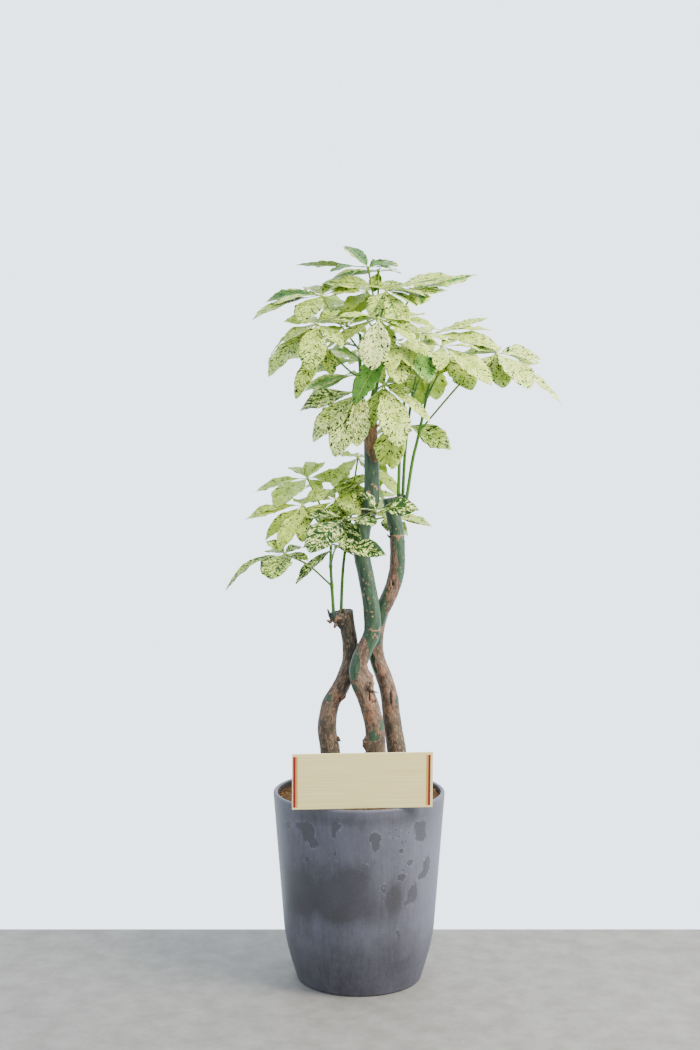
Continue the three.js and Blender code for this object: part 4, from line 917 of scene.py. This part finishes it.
def blade_tree():
    """From one point for each leaflet, a thin closed blade that arches, folds, waves and droops. The
    ragged margins and waves of its two edges are drawn from places 10 apart, so they differ."""
    tree, given = shape_tree("hand_leaf", {
        "Stations": WHOLE, "Across": WHOLE, "Blade thickness": FLOAT, "Rib thickness": FLOAT,
        "Fold": FLOAT, "Wave": FLOAT, "Wave length": FLOAT, "Ragged": FLOAT, "Ragged length": FLOAT,
        "Stalk share": FLOAT, "Stalk half width": FLOAT, "Hub radius": FLOAT, "Finish": MATERIAL,
    })
    # A flat grid, one unit along X and two across Y, doubled for the upper and the under side
    sizes = {"Size X": 1.0, "Size Y": 2.0, "Vertices X": given["Stations"], "Vertices Y": given["Across"]}
    spot = draw(tree, "GeometryNodeInputPosition")
    flat = store(shaped("MeshGrid", sizes), "flat", spot)
    top = store(flat, "side", 1.0, "FLOAT")
    under = store(shaped("FlipFaces", {"Mesh": flat}), "side", -1.0, "FLOAT")
    pair = {"Points": given["Geometry"], "Instance": join(top, under)}
    blades = shaped("RealizeInstances", {"Geometry": shaped("InstanceOnPoints", pair)})

    flat_x, across, _ = parts(read(tree, "flat"))
    x, y, z = parts(draw(tree, "GeometryNodeInputPosition"))
    compass, start, droop = parts(read(tree, "aim"))
    radius, widest, roll = parts(read(tree, "form"))
    phase, root, length = parts(read(tree, "growth"))
    side = read(tree, "side", "FLOAT")

    # The outline: half the width at each step along the rib, with a ragged margin
    step = flat_x + 0.5
    along = root + (1 - root) * step
    bare = given["Stalk share"]
    share_along = larger(smaller((along - bare) / (1 - bare), 1), 0)
    share = larger(sine(math.pi * share_along ** BLADE_SHAPE["belly"]), 0) ** BLADE_SHAPE["bluntness"]
    run = along * length
    edge_side = sign_of(across) * 5 + phase
    jagged = noise(place(run / given["Ragged length"], edge_side, 0), roughness=0.6)
    lobes = 1 + given["Ragged"] * (jagged - 0.5) * 2 * share
    at_tip = smaller(given["Stalk half width"], (1 - along) * BLADE_SHAPE["tip_taper"])
    half = larger(widest * share * lobes, at_tip)

    # The section: folded at the rib, waving toward the margin, and thickest along the rib
    from_rib = half * abs(across)
    ruffle = noise(place(run / given["Wave length"], edge_side, 9), roughness=0.55)
    wave = given["Wave"] * (ruffle - 0.5) * 4
    rib = larger(1 - from_rib / BLADE_SHAPE["rib_half_width"], 0)
    swell = given["Blade thickness"] * (1 - abs(across) ** BLADE_SHAPE["thin_margin"])
    swell = swell + given["Rib thickness"] * rib * rib * (1 - along)
    lift = side * 0.5 * swell * smaller(step * BLADE_SHAPE["thin_ends"], 1)
    rise = from_rib * sine(given["Fold"]) * share + wave * share * across * across + lift
    tilt = roll * share
    sideways = half * across * cosine(tilt) - rise * sine(tilt)
    upward = rise * cosine(tilt) + half * across * sine(tilt)

    # The bend: the rib follows an arc from its starting pitch down by its droop
    pitch = start - droop * along
    out = radius * (sine(start) - sine(pitch)) - sine(pitch) * upward
    new_x = x - flat_x + cosine(compass) * out - sine(compass) * sideways
    new_y = y - across + sine(compass) * out + cosine(compass) * sideways
    new_z = z + radius * (cosine(pitch) - cosine(start)) + cosine(pitch) * upward
    blades = store(blades, "blade", place(half * across / MM, along * length / MM, phase))
    blades = store(blades, "edge", place(abs(across), side, 0))
    blades = shaped("SetPosition", {"Geometry": blades, "Position": place(new_x, new_y, new_z)})
    blades = shaped("MergeByDistance", {"Geometry": blades, "Distance": 1e-6})

    hub = shaped("MergeByDistance", {"Geometry": given["Geometry"], "Distance": MM})
    ball = shaped("MeshIcoSphere", {"Radius": given["Hub radius"], "Subdivisions": 3})
    knob = shaped("InstanceOnPoints", {"Points": hub, "Instance": ball})
    knob = shaped("RealizeInstances", {"Geometry": knob})
    return finish_tree(join(blades, knob), given["Finish"])


def limb_tree():
    """Round limbs along curves with a radius of their own: trunks with rough skin, and shoots."""
    tree, given = shape_tree("round_limb", {
        "Sides": WHOLE, "Step": FLOAT, "Girth": FLOAT, "Lumps": FLOAT, "Lump size": FLOAT,
        "Ridges": FLOAT, "Ridge size": FLOAT, "Finish": MATERIAL,
    })
    curve = shaped("ResampleCurve", {"Curve": given["Geometry"], "Length": given["Step"]}, mode="LENGTH")
    curve = store(curve, "run", draw(tree, "GeometryNodeSplineParameter", output="Length"), "FLOAT")
    circle = shaped("CurvePrimitiveCircle", {"Resolution": given["Sides"], "Radius": 1.0})
    circle = store(circle, "ring", draw(tree, "GeometryNodeInputPosition"))
    radius = draw(tree, "GeometryNodeInputRadius")
    swept = {"Curve": curve, "Profile Curve": circle, "Scale": radius, "Fill Caps": True}
    limb = shaped("CurveToMesh", swept)
    ring_x, ring_y, _ = parts(read(tree, "ring"))
    girth = given["Girth"] / MM
    grain = place(ring_x * girth, ring_y * girth, read(tree, "run", "FLOAT") / MM)
    limb = store(limb, "grain", grain)
    where = read(tree, "grain")
    lumps = noise(stretched(where, 1, 1, 2), scale=MM / given["Lump size"]) - 0.5
    ridges = noise(stretched(where, 1, 1, 5), 3, scale=MM / given["Ridge size"]) - 0.5
    push = lumps * given["Lumps"] + ridges * given["Ridges"]
    offset = vector_maths("SCALE", {0: draw(tree, "GeometryNodeInputNormal"), "Scale": push})
    limb = shaped("SetPosition", {"Geometry": limb, "Offset": offset})
    return finish_tree(limb, given["Finish"])


def random_value(tree, inputs, kind="FLOAT", output=1):
    return draw(tree, "FunctionNodeRandomValue", inputs, output, data_type=kind)


def litter_tree():
    """Loose fibre: bent strands and short flakes strewn over a bed."""
    tree, given = shape_tree("fibre_litter", {
        "Strands": FLOAT, "Flakes": FLOAT, "Strand length": FLOAT, "Strand radius": FLOAT,
        "Flake size": FLOAT, "Seed": WHOLE, "Finish": MATERIAL,
    })
    length = given["Strand length"]
    bow = shaped("CurveQuadraticBezier", {
        "Resolution": 7, "Start": place(length * -0.5, 0, 0), "End": place(length * 0.5, 0, 0),
        "Middle": place(length * LITTER["lead"], length * LITTER["bow"], length * LITTER["lift"]),
    })
    profile = shaped("CurvePrimitiveCircle", {"Resolution": 4, "Radius": given["Strand radius"]})
    strand = shaped("CurveToMesh", {"Curve": bow, "Profile Curve": profile, "Fill Caps": True})
    flake = shaped("MeshIcoSphere", {"Radius": given["Flake size"], "Subdivisions": 1})
    flake = shaped("Transform", {"Geometry": flake, "Scale": LITTER["flake"]})
    layers = [given["Geometry"]]
    for index, (shape, density) in enumerate(((strand, given["Strands"]), (flake, given["Flakes"]))):
        seed = given["Seed"] + index
        spread = {"Mesh": given["Geometry"], "Density": density, "Seed": seed}
        points = shaped("DistributePointsOnFaces", spread)
        points = store(points, "tint", place(random_value(tree, {"Seed": seed}), 0, 0))
        turns = {0: LITTER["least_turn"], 1: LITTER["most_turn"], "Seed": seed + 7}
        turn = random_value(tree, turns, "FLOAT_VECTOR", 0)
        scale = random_value(tree, {2: LITTER["smallest"], 3: LITTER["largest"], "Seed": seed + 3})
        laid = {"Points": points, "Instance": shape, "Rotation": turn, "Scale": scale}
        layers.append(shaped("InstanceOnPoints", laid))
    return finish_tree(join(*layers), given["Finish"])


# ---------------------------------------------------------------- curves and leaflets, as in the solids
def curve_point(points, along):
    """A smooth curve through points of any number of values, at 0 to 1 along it."""
    points = np.array(points, dtype=float)
    spans = len(points) - 1
    span = min(int(along * spans), spans - 1)
    share = along * spans - span
    before = points[span - 1] if span else 2 * points[0] - points[1]
    after = points[span + 2] if span + 2 <= spans else 2 * points[spans] - points[spans - 1]
    first, second = points[span], points[span + 1]
    bend = (2 * before - 5 * first + 4 * second - after) * share ** 2
    bend += (3 * first - before - 3 * second + after) * share ** 3
    return 0.5 * (2 * first + (second - before) * share + bend)


def sampled(points, step):
    """Points of the smooth curve about step millimetres apart, as [x, y, z, radius]."""
    points = np.array(points, dtype=float)
    length = np.linalg.norm(np.diff(points[:, :3], axis=0), axis=1).sum()
    count = max(4, round(length / step))
    return np.array([curve_point(points, i / count) for i in range(count + 1)])


def leaflet_form(hub, look, compass, pitch, length, width=None, roll=None, bend=None):
    """What the blade tree needs for one leaflet, in metres and radians."""
    turn = math.radians(compass)
    if bend is None:
        bend = BLADE["least_droop"] + BLADE["droop"] * math.cos(math.radians(pitch))
    if width is None:
        width = min(BLADE["widest"], BLADE["width_share"] * length)
    if roll is None:
        sway = BLADE["sway"] * math.sin(BLADE["sway_rate"] * compass + hub[0])
        roll = BLADE["lean"] * math.cos(turn) + sway
    droop = math.radians(bend)
    radius = length / (2 * math.sin(droop / 2))
    return {
        "aim": (turn, math.radians(pitch) + droop / 2, droop),
        "form": (radius * MM, width * BLADE["fullness"] / 2 * MM, math.radians(roll)),
        "growth": (3 * turn + hub[2], BLADE["root_depth"] / length, length * MM),
        "look": look,
    }


def stalk_points(leaf):
    """A leaf stalk's curve from its shoot to its hub. One without bends of its own arches a little."""
    start = curve_point(SHOOTS[leaf.shoot], leaf.along)[:3]
    hub = np.array(leaf.hub, dtype=float)
    middle = [np.array(bend, dtype=float) for bend in leaf.bends]
    if not middle:
        rise = STALK["arch"] * np.linalg.norm(hub - start)
        middle = [(start + hub) / 2 + [0, 0, rise]]
    return sampled([start, *middle, hub], STALK["step"])


def swelling(most, away, reach):
    return most * math.exp(-((away / reach) ** 2))


def stalk_radius(from_shoot, from_hub):
    """A stalk is thickest where it bends by itself, at both of its ends."""
    at_shoot = swelling(STALK["swell"], from_shoot, STALK["swell_reach"])
    return STALK["radius"] + at_shoot + swelling(STALK["hub_swell"], from_hub, STALK["hub_reach"])


# ---------------------------------------------------------------- pieces
def curve_carrier(name, lines):
    """A curve object with one spline for each line of [x, y, z, radius], given in millimetres."""
    curve = bpy.data.curves.new(name, "CURVE")
    curve.dimensions = "3D"
    for line in lines:
        spline = curve.splines.new("POLY")
        spline.points.add(len(line) - 1)
        for point, (x, y, z, radius) in zip(spline.points, line):
            point.co = (x * MM, y * MM, z * MM, 1)
            point.radius = radius * MM
    return piece_of(name, curve)


def point_carrier(name, hub, leaflets):
    """A mesh of one loose point for each leaflet, which carries that leaflet's sizes."""
    mesh = bpy.data.meshes.new(name)
    mesh.from_pydata([tuple(np.array(hub) * MM)] * len(leaflets), [], [])
    carrier = piece_of(name, mesh)
    for key in leaflets[0]:
        paint(carrier, key, *zip(*(leaflet[key] for leaflet in leaflets)))
    return carrier


def paint(piece, name, first, second=0, third=0):
    """Stores three values for each vertex under one name."""
    values = np.zeros((len(piece.data.vertices), 3), dtype=np.float32)
    for column, value in enumerate((first, second, third)):
        values[:, column] = value
    piece.data.attributes.new(name, "FLOAT_VECTOR", "POINT").data.foreach_set("vector", values.ravel())


def vertices_of(piece):
    """The places of a piece's vertices, in millimetres."""
    places = np.empty(len(piece.data.vertices) * 3, dtype=np.float32)
    piece.data.vertices.foreach_get("co", places)
    return places.reshape(-1, 3) / MM


def move_vertices(piece, places):
    piece.data.vertices.foreach_set("co", (places * MM).astype(np.float32).ravel())


def fit(piece, slot, *nodes):
    """The piece rides on the tree and stands for its solids; its slot is not used."""
    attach(piece, "root")
    if nodes:
        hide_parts(*nodes)


def make_leaves(tree, finish):
    for name, leaf in LEAVES.items():
        leaflets = []
        for number, row in enumerate(leaf.leaflets):
            look = LEAFLET_LOOKS.get((name, number), leaf.look)
            leaflets.append(leaflet_form(leaf.hub, look, *row))
        carrier = point_carrier(f"{name}_points", leaf.hub, leaflets)
        piece = grow(f"leaf_{name}_blades", carrier, tree, BLADE_INPUTS, finish)
        fit(piece, "leaf", f"leaf_{name}")


def make_stems(tree, finish):
    for name, path in SHOOTS.items():
        stalks = [stalk_points(leaf) for leaf in LEAVES.values() if leaf.shoot == name]
        shoot = sampled(path, STALK["step"])
        for point in shoot:
            nearest = min(np.linalg.norm(point[:3] - line[0]) for line in stalks)
            point[3] += swelling(STALK["swell"], nearest, STALK["swell_reach"])
        lines = [shoot]
        for line in stalks:
            steps = np.linalg.norm(np.diff(line, axis=0), axis=1)
            run = np.concatenate([[0], np.cumsum(steps)])
            radii = [stalk_radius(at, run[-1] - at) for at in run]
            lines.append(np.column_stack([line, radii]))
        piece = grow(f"stem_{name}_skin", curve_carrier(f"{name}_lines", lines), tree, SHOOT_INPUTS, finish)
        places = vertices_of(piece)
        from_shoot = np.min([np.linalg.norm(places - point[:3], axis=1) for point in shoot], axis=0)
        age = np.clip(STALK_AGE["start"] - from_shoot / STALK_AGE["over"], 0, 1)
        paint(piece, "skin", 0, 0, age)
        fit(piece, "stem", f"stem_{name}")


def knotted(places, path, knots):
    """Pushes the skin out to the surface of each knot that stands out of it."""
    middles = sampled(path, KNOT["step"])[:, :3]
    for x, y, z, across, deep, tall in knots:
        middle, size = np.array([x, y, z]), np.array([across, deep, tall]) * KNOT["size"]
        near = np.abs((places - middle) / (size * KNOT["window"])).max(axis=1) < 1
        axis = middles[np.argmin(np.abs(middles[:, 2:] - places[near, 2]), axis=0)]
        outward = places[near] - axis
        outward /= np.linalg.norm(outward, axis=1, keepdims=True) + 1e-9
        share = np.exp(-(((places[near] - middle) / size) ** 2).sum(axis=1))
        surface = np.linalg.norm((middle - axis), axis=1) + size.min()
        reach = np.clip(surface - np.linalg.norm(places[near] - axis, axis=1), 0, None)
        places[near] += outward * (reach * np.clip(share * KNOT["fullness"], 0, 1))[:, None]
    return places


def front_marks(places, marks, middle_y, sharp=1.5, soft=0.7, fade=1):
    """How strongly the marks on the front side cover each place, fading out behind it."""
    total = np.zeros(len(places))
    for x, z, across, tall, strength in marks:
        away = ((places[:, 0] - x) / across) ** 2 + ((places[:, 2] - z) / tall) ** 2
        total += strength * np.exp(-soft * away ** sharp)
    return total * np.clip(1 - (places[:, 1] - middle_y) / fade, 0, 1)


def paint_skin(piece, skin, path):
    """Stores how green, dark with painted shade, cut, grey, scarred and peeled each place on a trunk is;
    one peel is also painted light.
    """
    places = vertices_of(piece)
    height = places[:, 2]
    rise = (height - skin["green_from"]) / skin["fade"]
    green = LEAST_GREEN + (skin["most"] - LEAST_GREEN) / (1 + np.exp(-rise))
    for x, y, z, reach, change in skin["patches"]:
        distance = np.linalg.norm((places - [x, y, z]) * PATCH["stretch"], axis=1)
        green += change * np.exp(-((distance / reach) ** PATCH["edge"]))
    middle_y = np.interp(height, [point[2] for point in path], [point[1] for point in path])
    # The gap marks are painted shade and also sink the skin; the peels include one painted light
    dark, scar, peel_and_light = (front_marks(places, skin[kind], middle_y) for kind in ("gaps", "scars", "peels_and_light"))
    facing = np.clip((middle_y - places[:, 1]) / GAP["facing"], 0, 1)
    places[:, 1] += GAP["depth"] * np.clip(dark, 0, 1) * facing
    move_vertices(piece, places)
    cut = height > path[-1][2] - CUT["cap"]
    paint(piece, "skin", np.clip(green, 0, 1), dark, cut)
    paint(piece, "wear", np.interp(height, *skin["grey"]), scar, peel_and_light)


def rough_cut(piece):
    """Gives the flat cut ends of a limb a sunken, uneven face."""
    shape = bmesh.new()
    shape.from_mesh(piece.data)
    for end in [face for face in shape.faces if len(face.verts) > CUT["corners"]]:
        normal, middle = end.normal.copy(), end.calc_center_median()
        rim = list(end.verts)
        shape.faces.remove(end)
        outer = rim
        for share, drop in CUT["rings"]:
            inner = []
            for vertex in rim:
                spot = middle + (vertex.co - middle) * share
                waves = zip(spot, CUT["waves"])
                bump = sum(math.sin(at * rate + share * shift) for at, (rate, shift) in waves)
                sunk = CUT["depth"] * drop + CUT["bump"] * bump
                inner.append(shape.verts.new(spot - normal * sunk * MM))
            for k, vertex in enumerate(outer):
                following = (k + 1) % len(outer)
                shape.faces.new((vertex, outer[following], inner[following], inner[k]))
            outer = inner
        shape.faces.new(outer)
    shape.to_mesh(piece.data)
    shape.free()
    piece.data.shade_smooth()


def make_trunks(tree, finish):
    for name, trunk in TRUNKS.items():
        path = trunk["path"]
        carrier = curve_carrier(f"{name}_line", [sampled(path, TRUNK_STEP)])
        piece = grow(f"trunk_{name}_bark", carrier, tree, TRUNK_INPUTS, finish)
        move_vertices(piece, knotted(vertices_of(piece), path, trunk["knots"]))
        rough_cut(piece)
        paint_skin(piece, SKIN[name], path)
        piece.data.update()
        fit(piece, "bark", f"trunk_{name}")
        make_stubs(name, tree, finish)


def make_stubs(name, tree, finish):
    """The small dead stubs, thorns and sleeping buds of one trunk, bowed toward the front."""
    lines = []
    for foot, tip, foot_radius, tip_radius, _ in STUBS[name]:
        foot, tip = np.array(foot, dtype=float), np.array(tip, dtype=float)
        bow = (foot + tip) / 2 + [0, -STUB["bow"] * np.linalg.norm(tip - foot), 0]
        bow_radius = (foot_radius + tip_radius) * STUB["bow_radius"]
        point = [*(tip + (tip - bow) * STUB["point"]), STUB["point_radius"]]
        ends = [[*foot, foot_radius], [*bow, bow_radius], [*tip, tip_radius], point]
        lines.append(sampled(ends, STUB["step"]))
    carrier = curve_carrier(f"{name}_stub_lines", lines)
    piece = grow(f"trunk_{name}_stubs", carrier, tree, STUB_INPUTS, finish)
    places = vertices_of(piece)
    away = [np.linalg.norm(places[:, None] - line[None, :, :3], axis=2).min(axis=1) for line in lines]
    green = np.array([row[4] for row in STUBS[name]])[np.argmin(away, axis=0)]
    paint(piece, "skin", green, STUB["dark"] * (green < STUB["dead_below"]))
    paint(piece, "wear", STUB["grey"])
    fit(piece, "bark")


def around(radius, turn, height):
    """A place at a radius and turn about the pot's axis, in metres."""
    return (radius * math.cos(turn) * MM, radius * math.sin(turn) * MM, height * MM)


def bent(start, control, end, count):
    """A quadratic curve without its first point."""
    start, control, end = np.array(start), np.array(control), np.array(end)
    shares = np.linspace(0, 1, count + 1)[1:]
    return [tuple((1 - t) ** 2 * start + 2 * t * (1 - t) * control + t * t * end) for t in shares]


def straight(start, end, count):
    """A straight run without its first point."""
    start, end = np.array(start), np.array(end)
    return [tuple(start + t * (end - start)) for t in np.linspace(0, 1, count + 1)[1:]]


def pot_outline():
    """The pot's section as (radius, height), from the axis under the floor round to the axis inside."""
    height, wall, steps = POT["height"], POT["wall"], POT_STEPS
    lip = wall / 2
    slope = (POT["lip_radius"] - POT["wall_radius"]) / (height - POT["wall_height"])
    rim = POT["wall_radius"] + slope * (height - lip - POT["wall_height"])
    foot, bend = POT["foot_radius"], (POT["bend_radius"], POT["bend_height"])
    flank = (foot + POT["foot_flare"], POT["foot_round"])
    waist = (POT["wall_radius"], POT["wall_height"])
    inner = (waist[0] - wall, waist[1])
    outline = [(foot - POT["pole"], 0), (foot - POT["foot_round"], 0)]
    outline += bent(outline[-1], (foot, 0), flank, steps["foot"])
    outline += bent(flank, bend, waist, steps["bend"])
    outline += straight(waist, (rim, height - lip), steps["wall"])
    for turn in np.radians(np.linspace(0, 180, steps["lip"] + 1)[1:]):
        outline.append((rim - lip + lip * math.cos(turn), height - lip + lip * math.sin(turn)))
    outline += straight(outline[-1], inner, steps["inside"])
    outline += bent(inner, (bend[0] - wall, bend[1]), (foot - wall, POT["floor"]), steps["floor"])
    return outline + [(foot - wall - POT["floor_pole"], POT["floor"])]


def ring(count, radius, height_at):
    """Places round Z, in metres. Their height, in millimetres, may change with the turn."""
    turns = [2 * math.pi * k / count for k in range(count)]
    return [around(radius, turn, height_at(turn)) for turn in turns]


def ring_mesh(name, rings, closed):
    """Joins rings, of which the first is a single place. A closed shell ends in one too, and faces
    outward, and an open bed faces up."""
    count = len(rings[1])
    places = [spot for circle in rings for spot in circle]
    last = len(places) - 1
    faces = []
    for k in range(count):
        following = (k + 1) % count
        faces.append((0, 1 + following, 1 + k))
        if closed:
            faces.append((last, last - count + k, last - count + following))
        for low in range(1, last - count - closed, count):
            high = low + count
            faces.append((low + k, low + following, high + following, high + k))
    if not closed:
        faces = [face[:1] + face[:0:-1] for face in faces]
    mesh = bpy.data.meshes.new(name)
    mesh.from_pydata(places, [], faces)
    return mesh


def make_pot(finish):
    outline = pot_outline()
    poles = [[(0, 0, height * MM)] for _, height in (outline[0], outline[-1])]
    rings = [ring(POT["facets"], radius, lambda turn: height) for radius, height in outline]
    mesh = ring_mesh("pot_shell", [poles[0], *rings, poles[1]], closed=True)
    mesh.materials.append(finish)
    mesh.shade_smooth()
    pot = piece_of("pot_shell", mesh)
    places = vertices_of(pot)
    radius, height = np.hypot(places[:, 0], places[:, 1]), places[:, 2]
    # The bloom marks, with their painted light and shade, are laid on the pot here
    bare, bloom_and_shading, drops = (
        front_marks(places, marks, 0, sharp=1.0, fade=POT_WEAR["fade"]) for marks in POT_MARKS.values()
    )
    behind = np.clip(places[:, 1] / POT_WEAR["back_over"], 0, 1)
    rise = (height - POT_WEAR["faded_from"]) / POT_WEAR["faded_over"]
    bloom_and_shading += POT_WEAR["bloom_and_shading"] * behind * rise - POT_WEAR["all_faded"]
    bare += POT_WEAR["bare"] * behind
    drops += POT_WEAR["drops"] * behind
    flank = 1 + POT_STEPS["foot"]
    outer = np.array(outline[flank:flank + POT_STEPS["bend"] + POT_STEPS["wall"]])
    wall = np.interp(height, outer[:, 1], outer[:, 0])
    # Where the inner wall is darkened, by stain and by painted shade
    depth = np.clip((wall - POT_INSIDE["depth"] - radius) / POT_INSIDE["fade"], 0, 1)
    inside = depth * (height > POT_INSIDE["from"]) * (height < POT["height"] - POT_INSIDE["below_lip"])
    paint(pot, "bloom", bare, bloom_and_shading, drops)
    paint(pot, "inside", inside)
    fit(pot, "pot", "pot")


def bed_height(radius, turn):
    """The height of the mulch, with hollows and crumbs, heaped up toward the pot's wall."""
    hollows = math.sin(3 * turn + radius / 19) * math.sin(radius / 23 - 2 * turn)
    crumbs = math.sin(11 * turn + radius * 1.7) * math.cos(radius * 0.9 - 5 * turn)
    heap = MULCH["heap"] * min(1, max(0, (radius - MULCH["heap_from"]) / MULCH["heap_over"]))
    relief = MULCH["relief"] * (MULCH["hollows"] * hollows + MULCH["crumbs"] * crumbs)
    return MULCH["top"] - MULCH["sunk"] + heap + relief


def make_mulch(tree, finish):
    rings = [ring(1, 0, partial(bed_height, 0))]
    for number in range(1, MULCH["rings"] + 1):
        radius = MULCH["edge"] * number / MULCH["rings"]
        rings.append(ring(MULCH["sectors"], radius, partial(bed_height, radius)))
    mesh = ring_mesh("mulch_bed", rings, closed=False)
    piece = grow("mulch_fibre", piece_of("mulch_bed", mesh), tree, LITTER_INPUTS, finish)
    fit(piece, "mulch", "mulch")


def card_place():
    turn = Matrix.Rotation(math.radians(CARD["turn"]), 4, "Z")
    lean = Matrix.Rotation(math.radians(CARD["lean"]), 4, "X")
    return Matrix.Translation(Vector(CARD["foot"]) * MM) @ (turn @ lean)


def card_block(name, low, high, bevel, finish):
    """A block with rounded edges, given in the card's own millimetres, put in the card's place."""
    low, high = Vector(low), Vector(high)
    mesh = bpy.data.meshes.new(name)
    shape = bmesh.new()
    bmesh.ops.create_cube(shape, size=1)
    bmesh.ops.scale(shape, vec=(high - low) * MM, verts=shape.verts)
    bmesh.ops.translate(shape, vec=(low + high) / 2 * MM, verts=shape.verts)
    bmesh.ops.bevel(shape, geom=shape.edges[:], offset=bevel * MM, segments=3, profile=0.5, affect="EDGES")
    bmesh.ops.transform(shape, matrix=card_place(), verts=shape.verts)
    shape.to_mesh(mesh)
    shape.free()
    mesh.materials.append(finish)
    return piece_of(name, mesh)


def make_card(cream, red, gold):
    half = CARD["width"] / 2
    low, high = (-half, 0, 0), (half, CARD["thickness"], CARD["height"])
    fit(card_block("card_board_face", low, high, CARD["bevel"], cream), "card", "card_board")
    for name, (start, width) in CARD_STRIPES.items():
        low = (start - half, -STRIPE["proud"], STRIPE["bottom"])
        high = (start + width - half, STRIPE["depth"], CARD["height"] - STRIPE["top"])
        foil = red if "red" in name else gold
        fit(card_block(f"card_stripe_{name}", low, high, STRIPE["bevel"], foil), "card")


def dress_solid(node, finish):
    """A solid that keeps its shape gets its finish."""
    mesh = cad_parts[node].data
    mesh.materials.clear()
    mesh.materials.append(finish)


# ---------------------------------------------------------------- camera, floor and light, in metres
def make_camera():
    data = bpy.data.cameras.new("camera")
    data.sensor_width = CAMERA["sensor"]
    data.lens = CAMERA["lens"]
    camera = piece_of("camera", data)
    camera.location = CAMERA["place"]
    camera.rotation_euler = (math.radians(CAMERA["tilt"]), 0, 0)
    bpy.context.scene.camera = camera


def make_floor(finish):
    mesh = bpy.data.meshes.new("floor")
    near, far, side = FLOOR["near"], FLOOR["far"], FLOOR["side"]
    corners = [(-side, near, 0), (side, near, 0), (side, far, 0), (-side, far, 0)]
    mesh.from_pydata(corners, [], [(0, 1, 2, 3)])
    mesh.materials.append(finish)
    piece_of("floor", mesh)


def make_sky():
    """Soft studio light from all round, stronger from the front right."""
    world = bpy.data.worlds.new("studio")
    world.use_nodes = True
    tree = world.node_tree
    x, y, _ = parts(draw(tree, "ShaderNodeTexCoord", output="Generated"))
    bright = ramp(y + x * SKY["lean"], SKY["from"], SKY["to"])
    background = tree.nodes["Background"]
    background.inputs["Color"].default_value = SKY["colour"]
    tree.links.new((bright * SKY["more"] + SKY["least"]).socket, background.inputs["Strength"])
    bpy.context.scene.world = world


def make_key():
    data = bpy.data.lights.new("key", "AREA")
    data.shape = "DISK"
    data.size = KEY["size"]
    data.energy = KEY["energy"]
    data.color = KEY["colour"]
    key = piece_of("key", data)
    key.location = KEY["place"]
    key.rotation_euler = (Vector(KEY["aim"]) - key.location).to_track_quat("-Z", "Y").to_euler()


make_camera()
make_floor(floor_finish())
make_sky()
make_key()
make_pot(pot_finish())
make_mulch(litter_tree(), mulch_finish())
round_limb = limb_tree()
make_trunks(round_limb, bark_finish())
make_stems(round_limb, shoot_finish())
make_leaves(blade_tree(), leaf_finish())
make_card(
    card_finish(),
    foil_finish("stripe_red", (124, 0, 12), 0.0, 0.5),
    foil_finish("stripe_gold", (196, 152, 70), 0.2, 0.4),
)
dress_solid("card_stake", stake_finish())
dress_solid("soil", soil_finish())
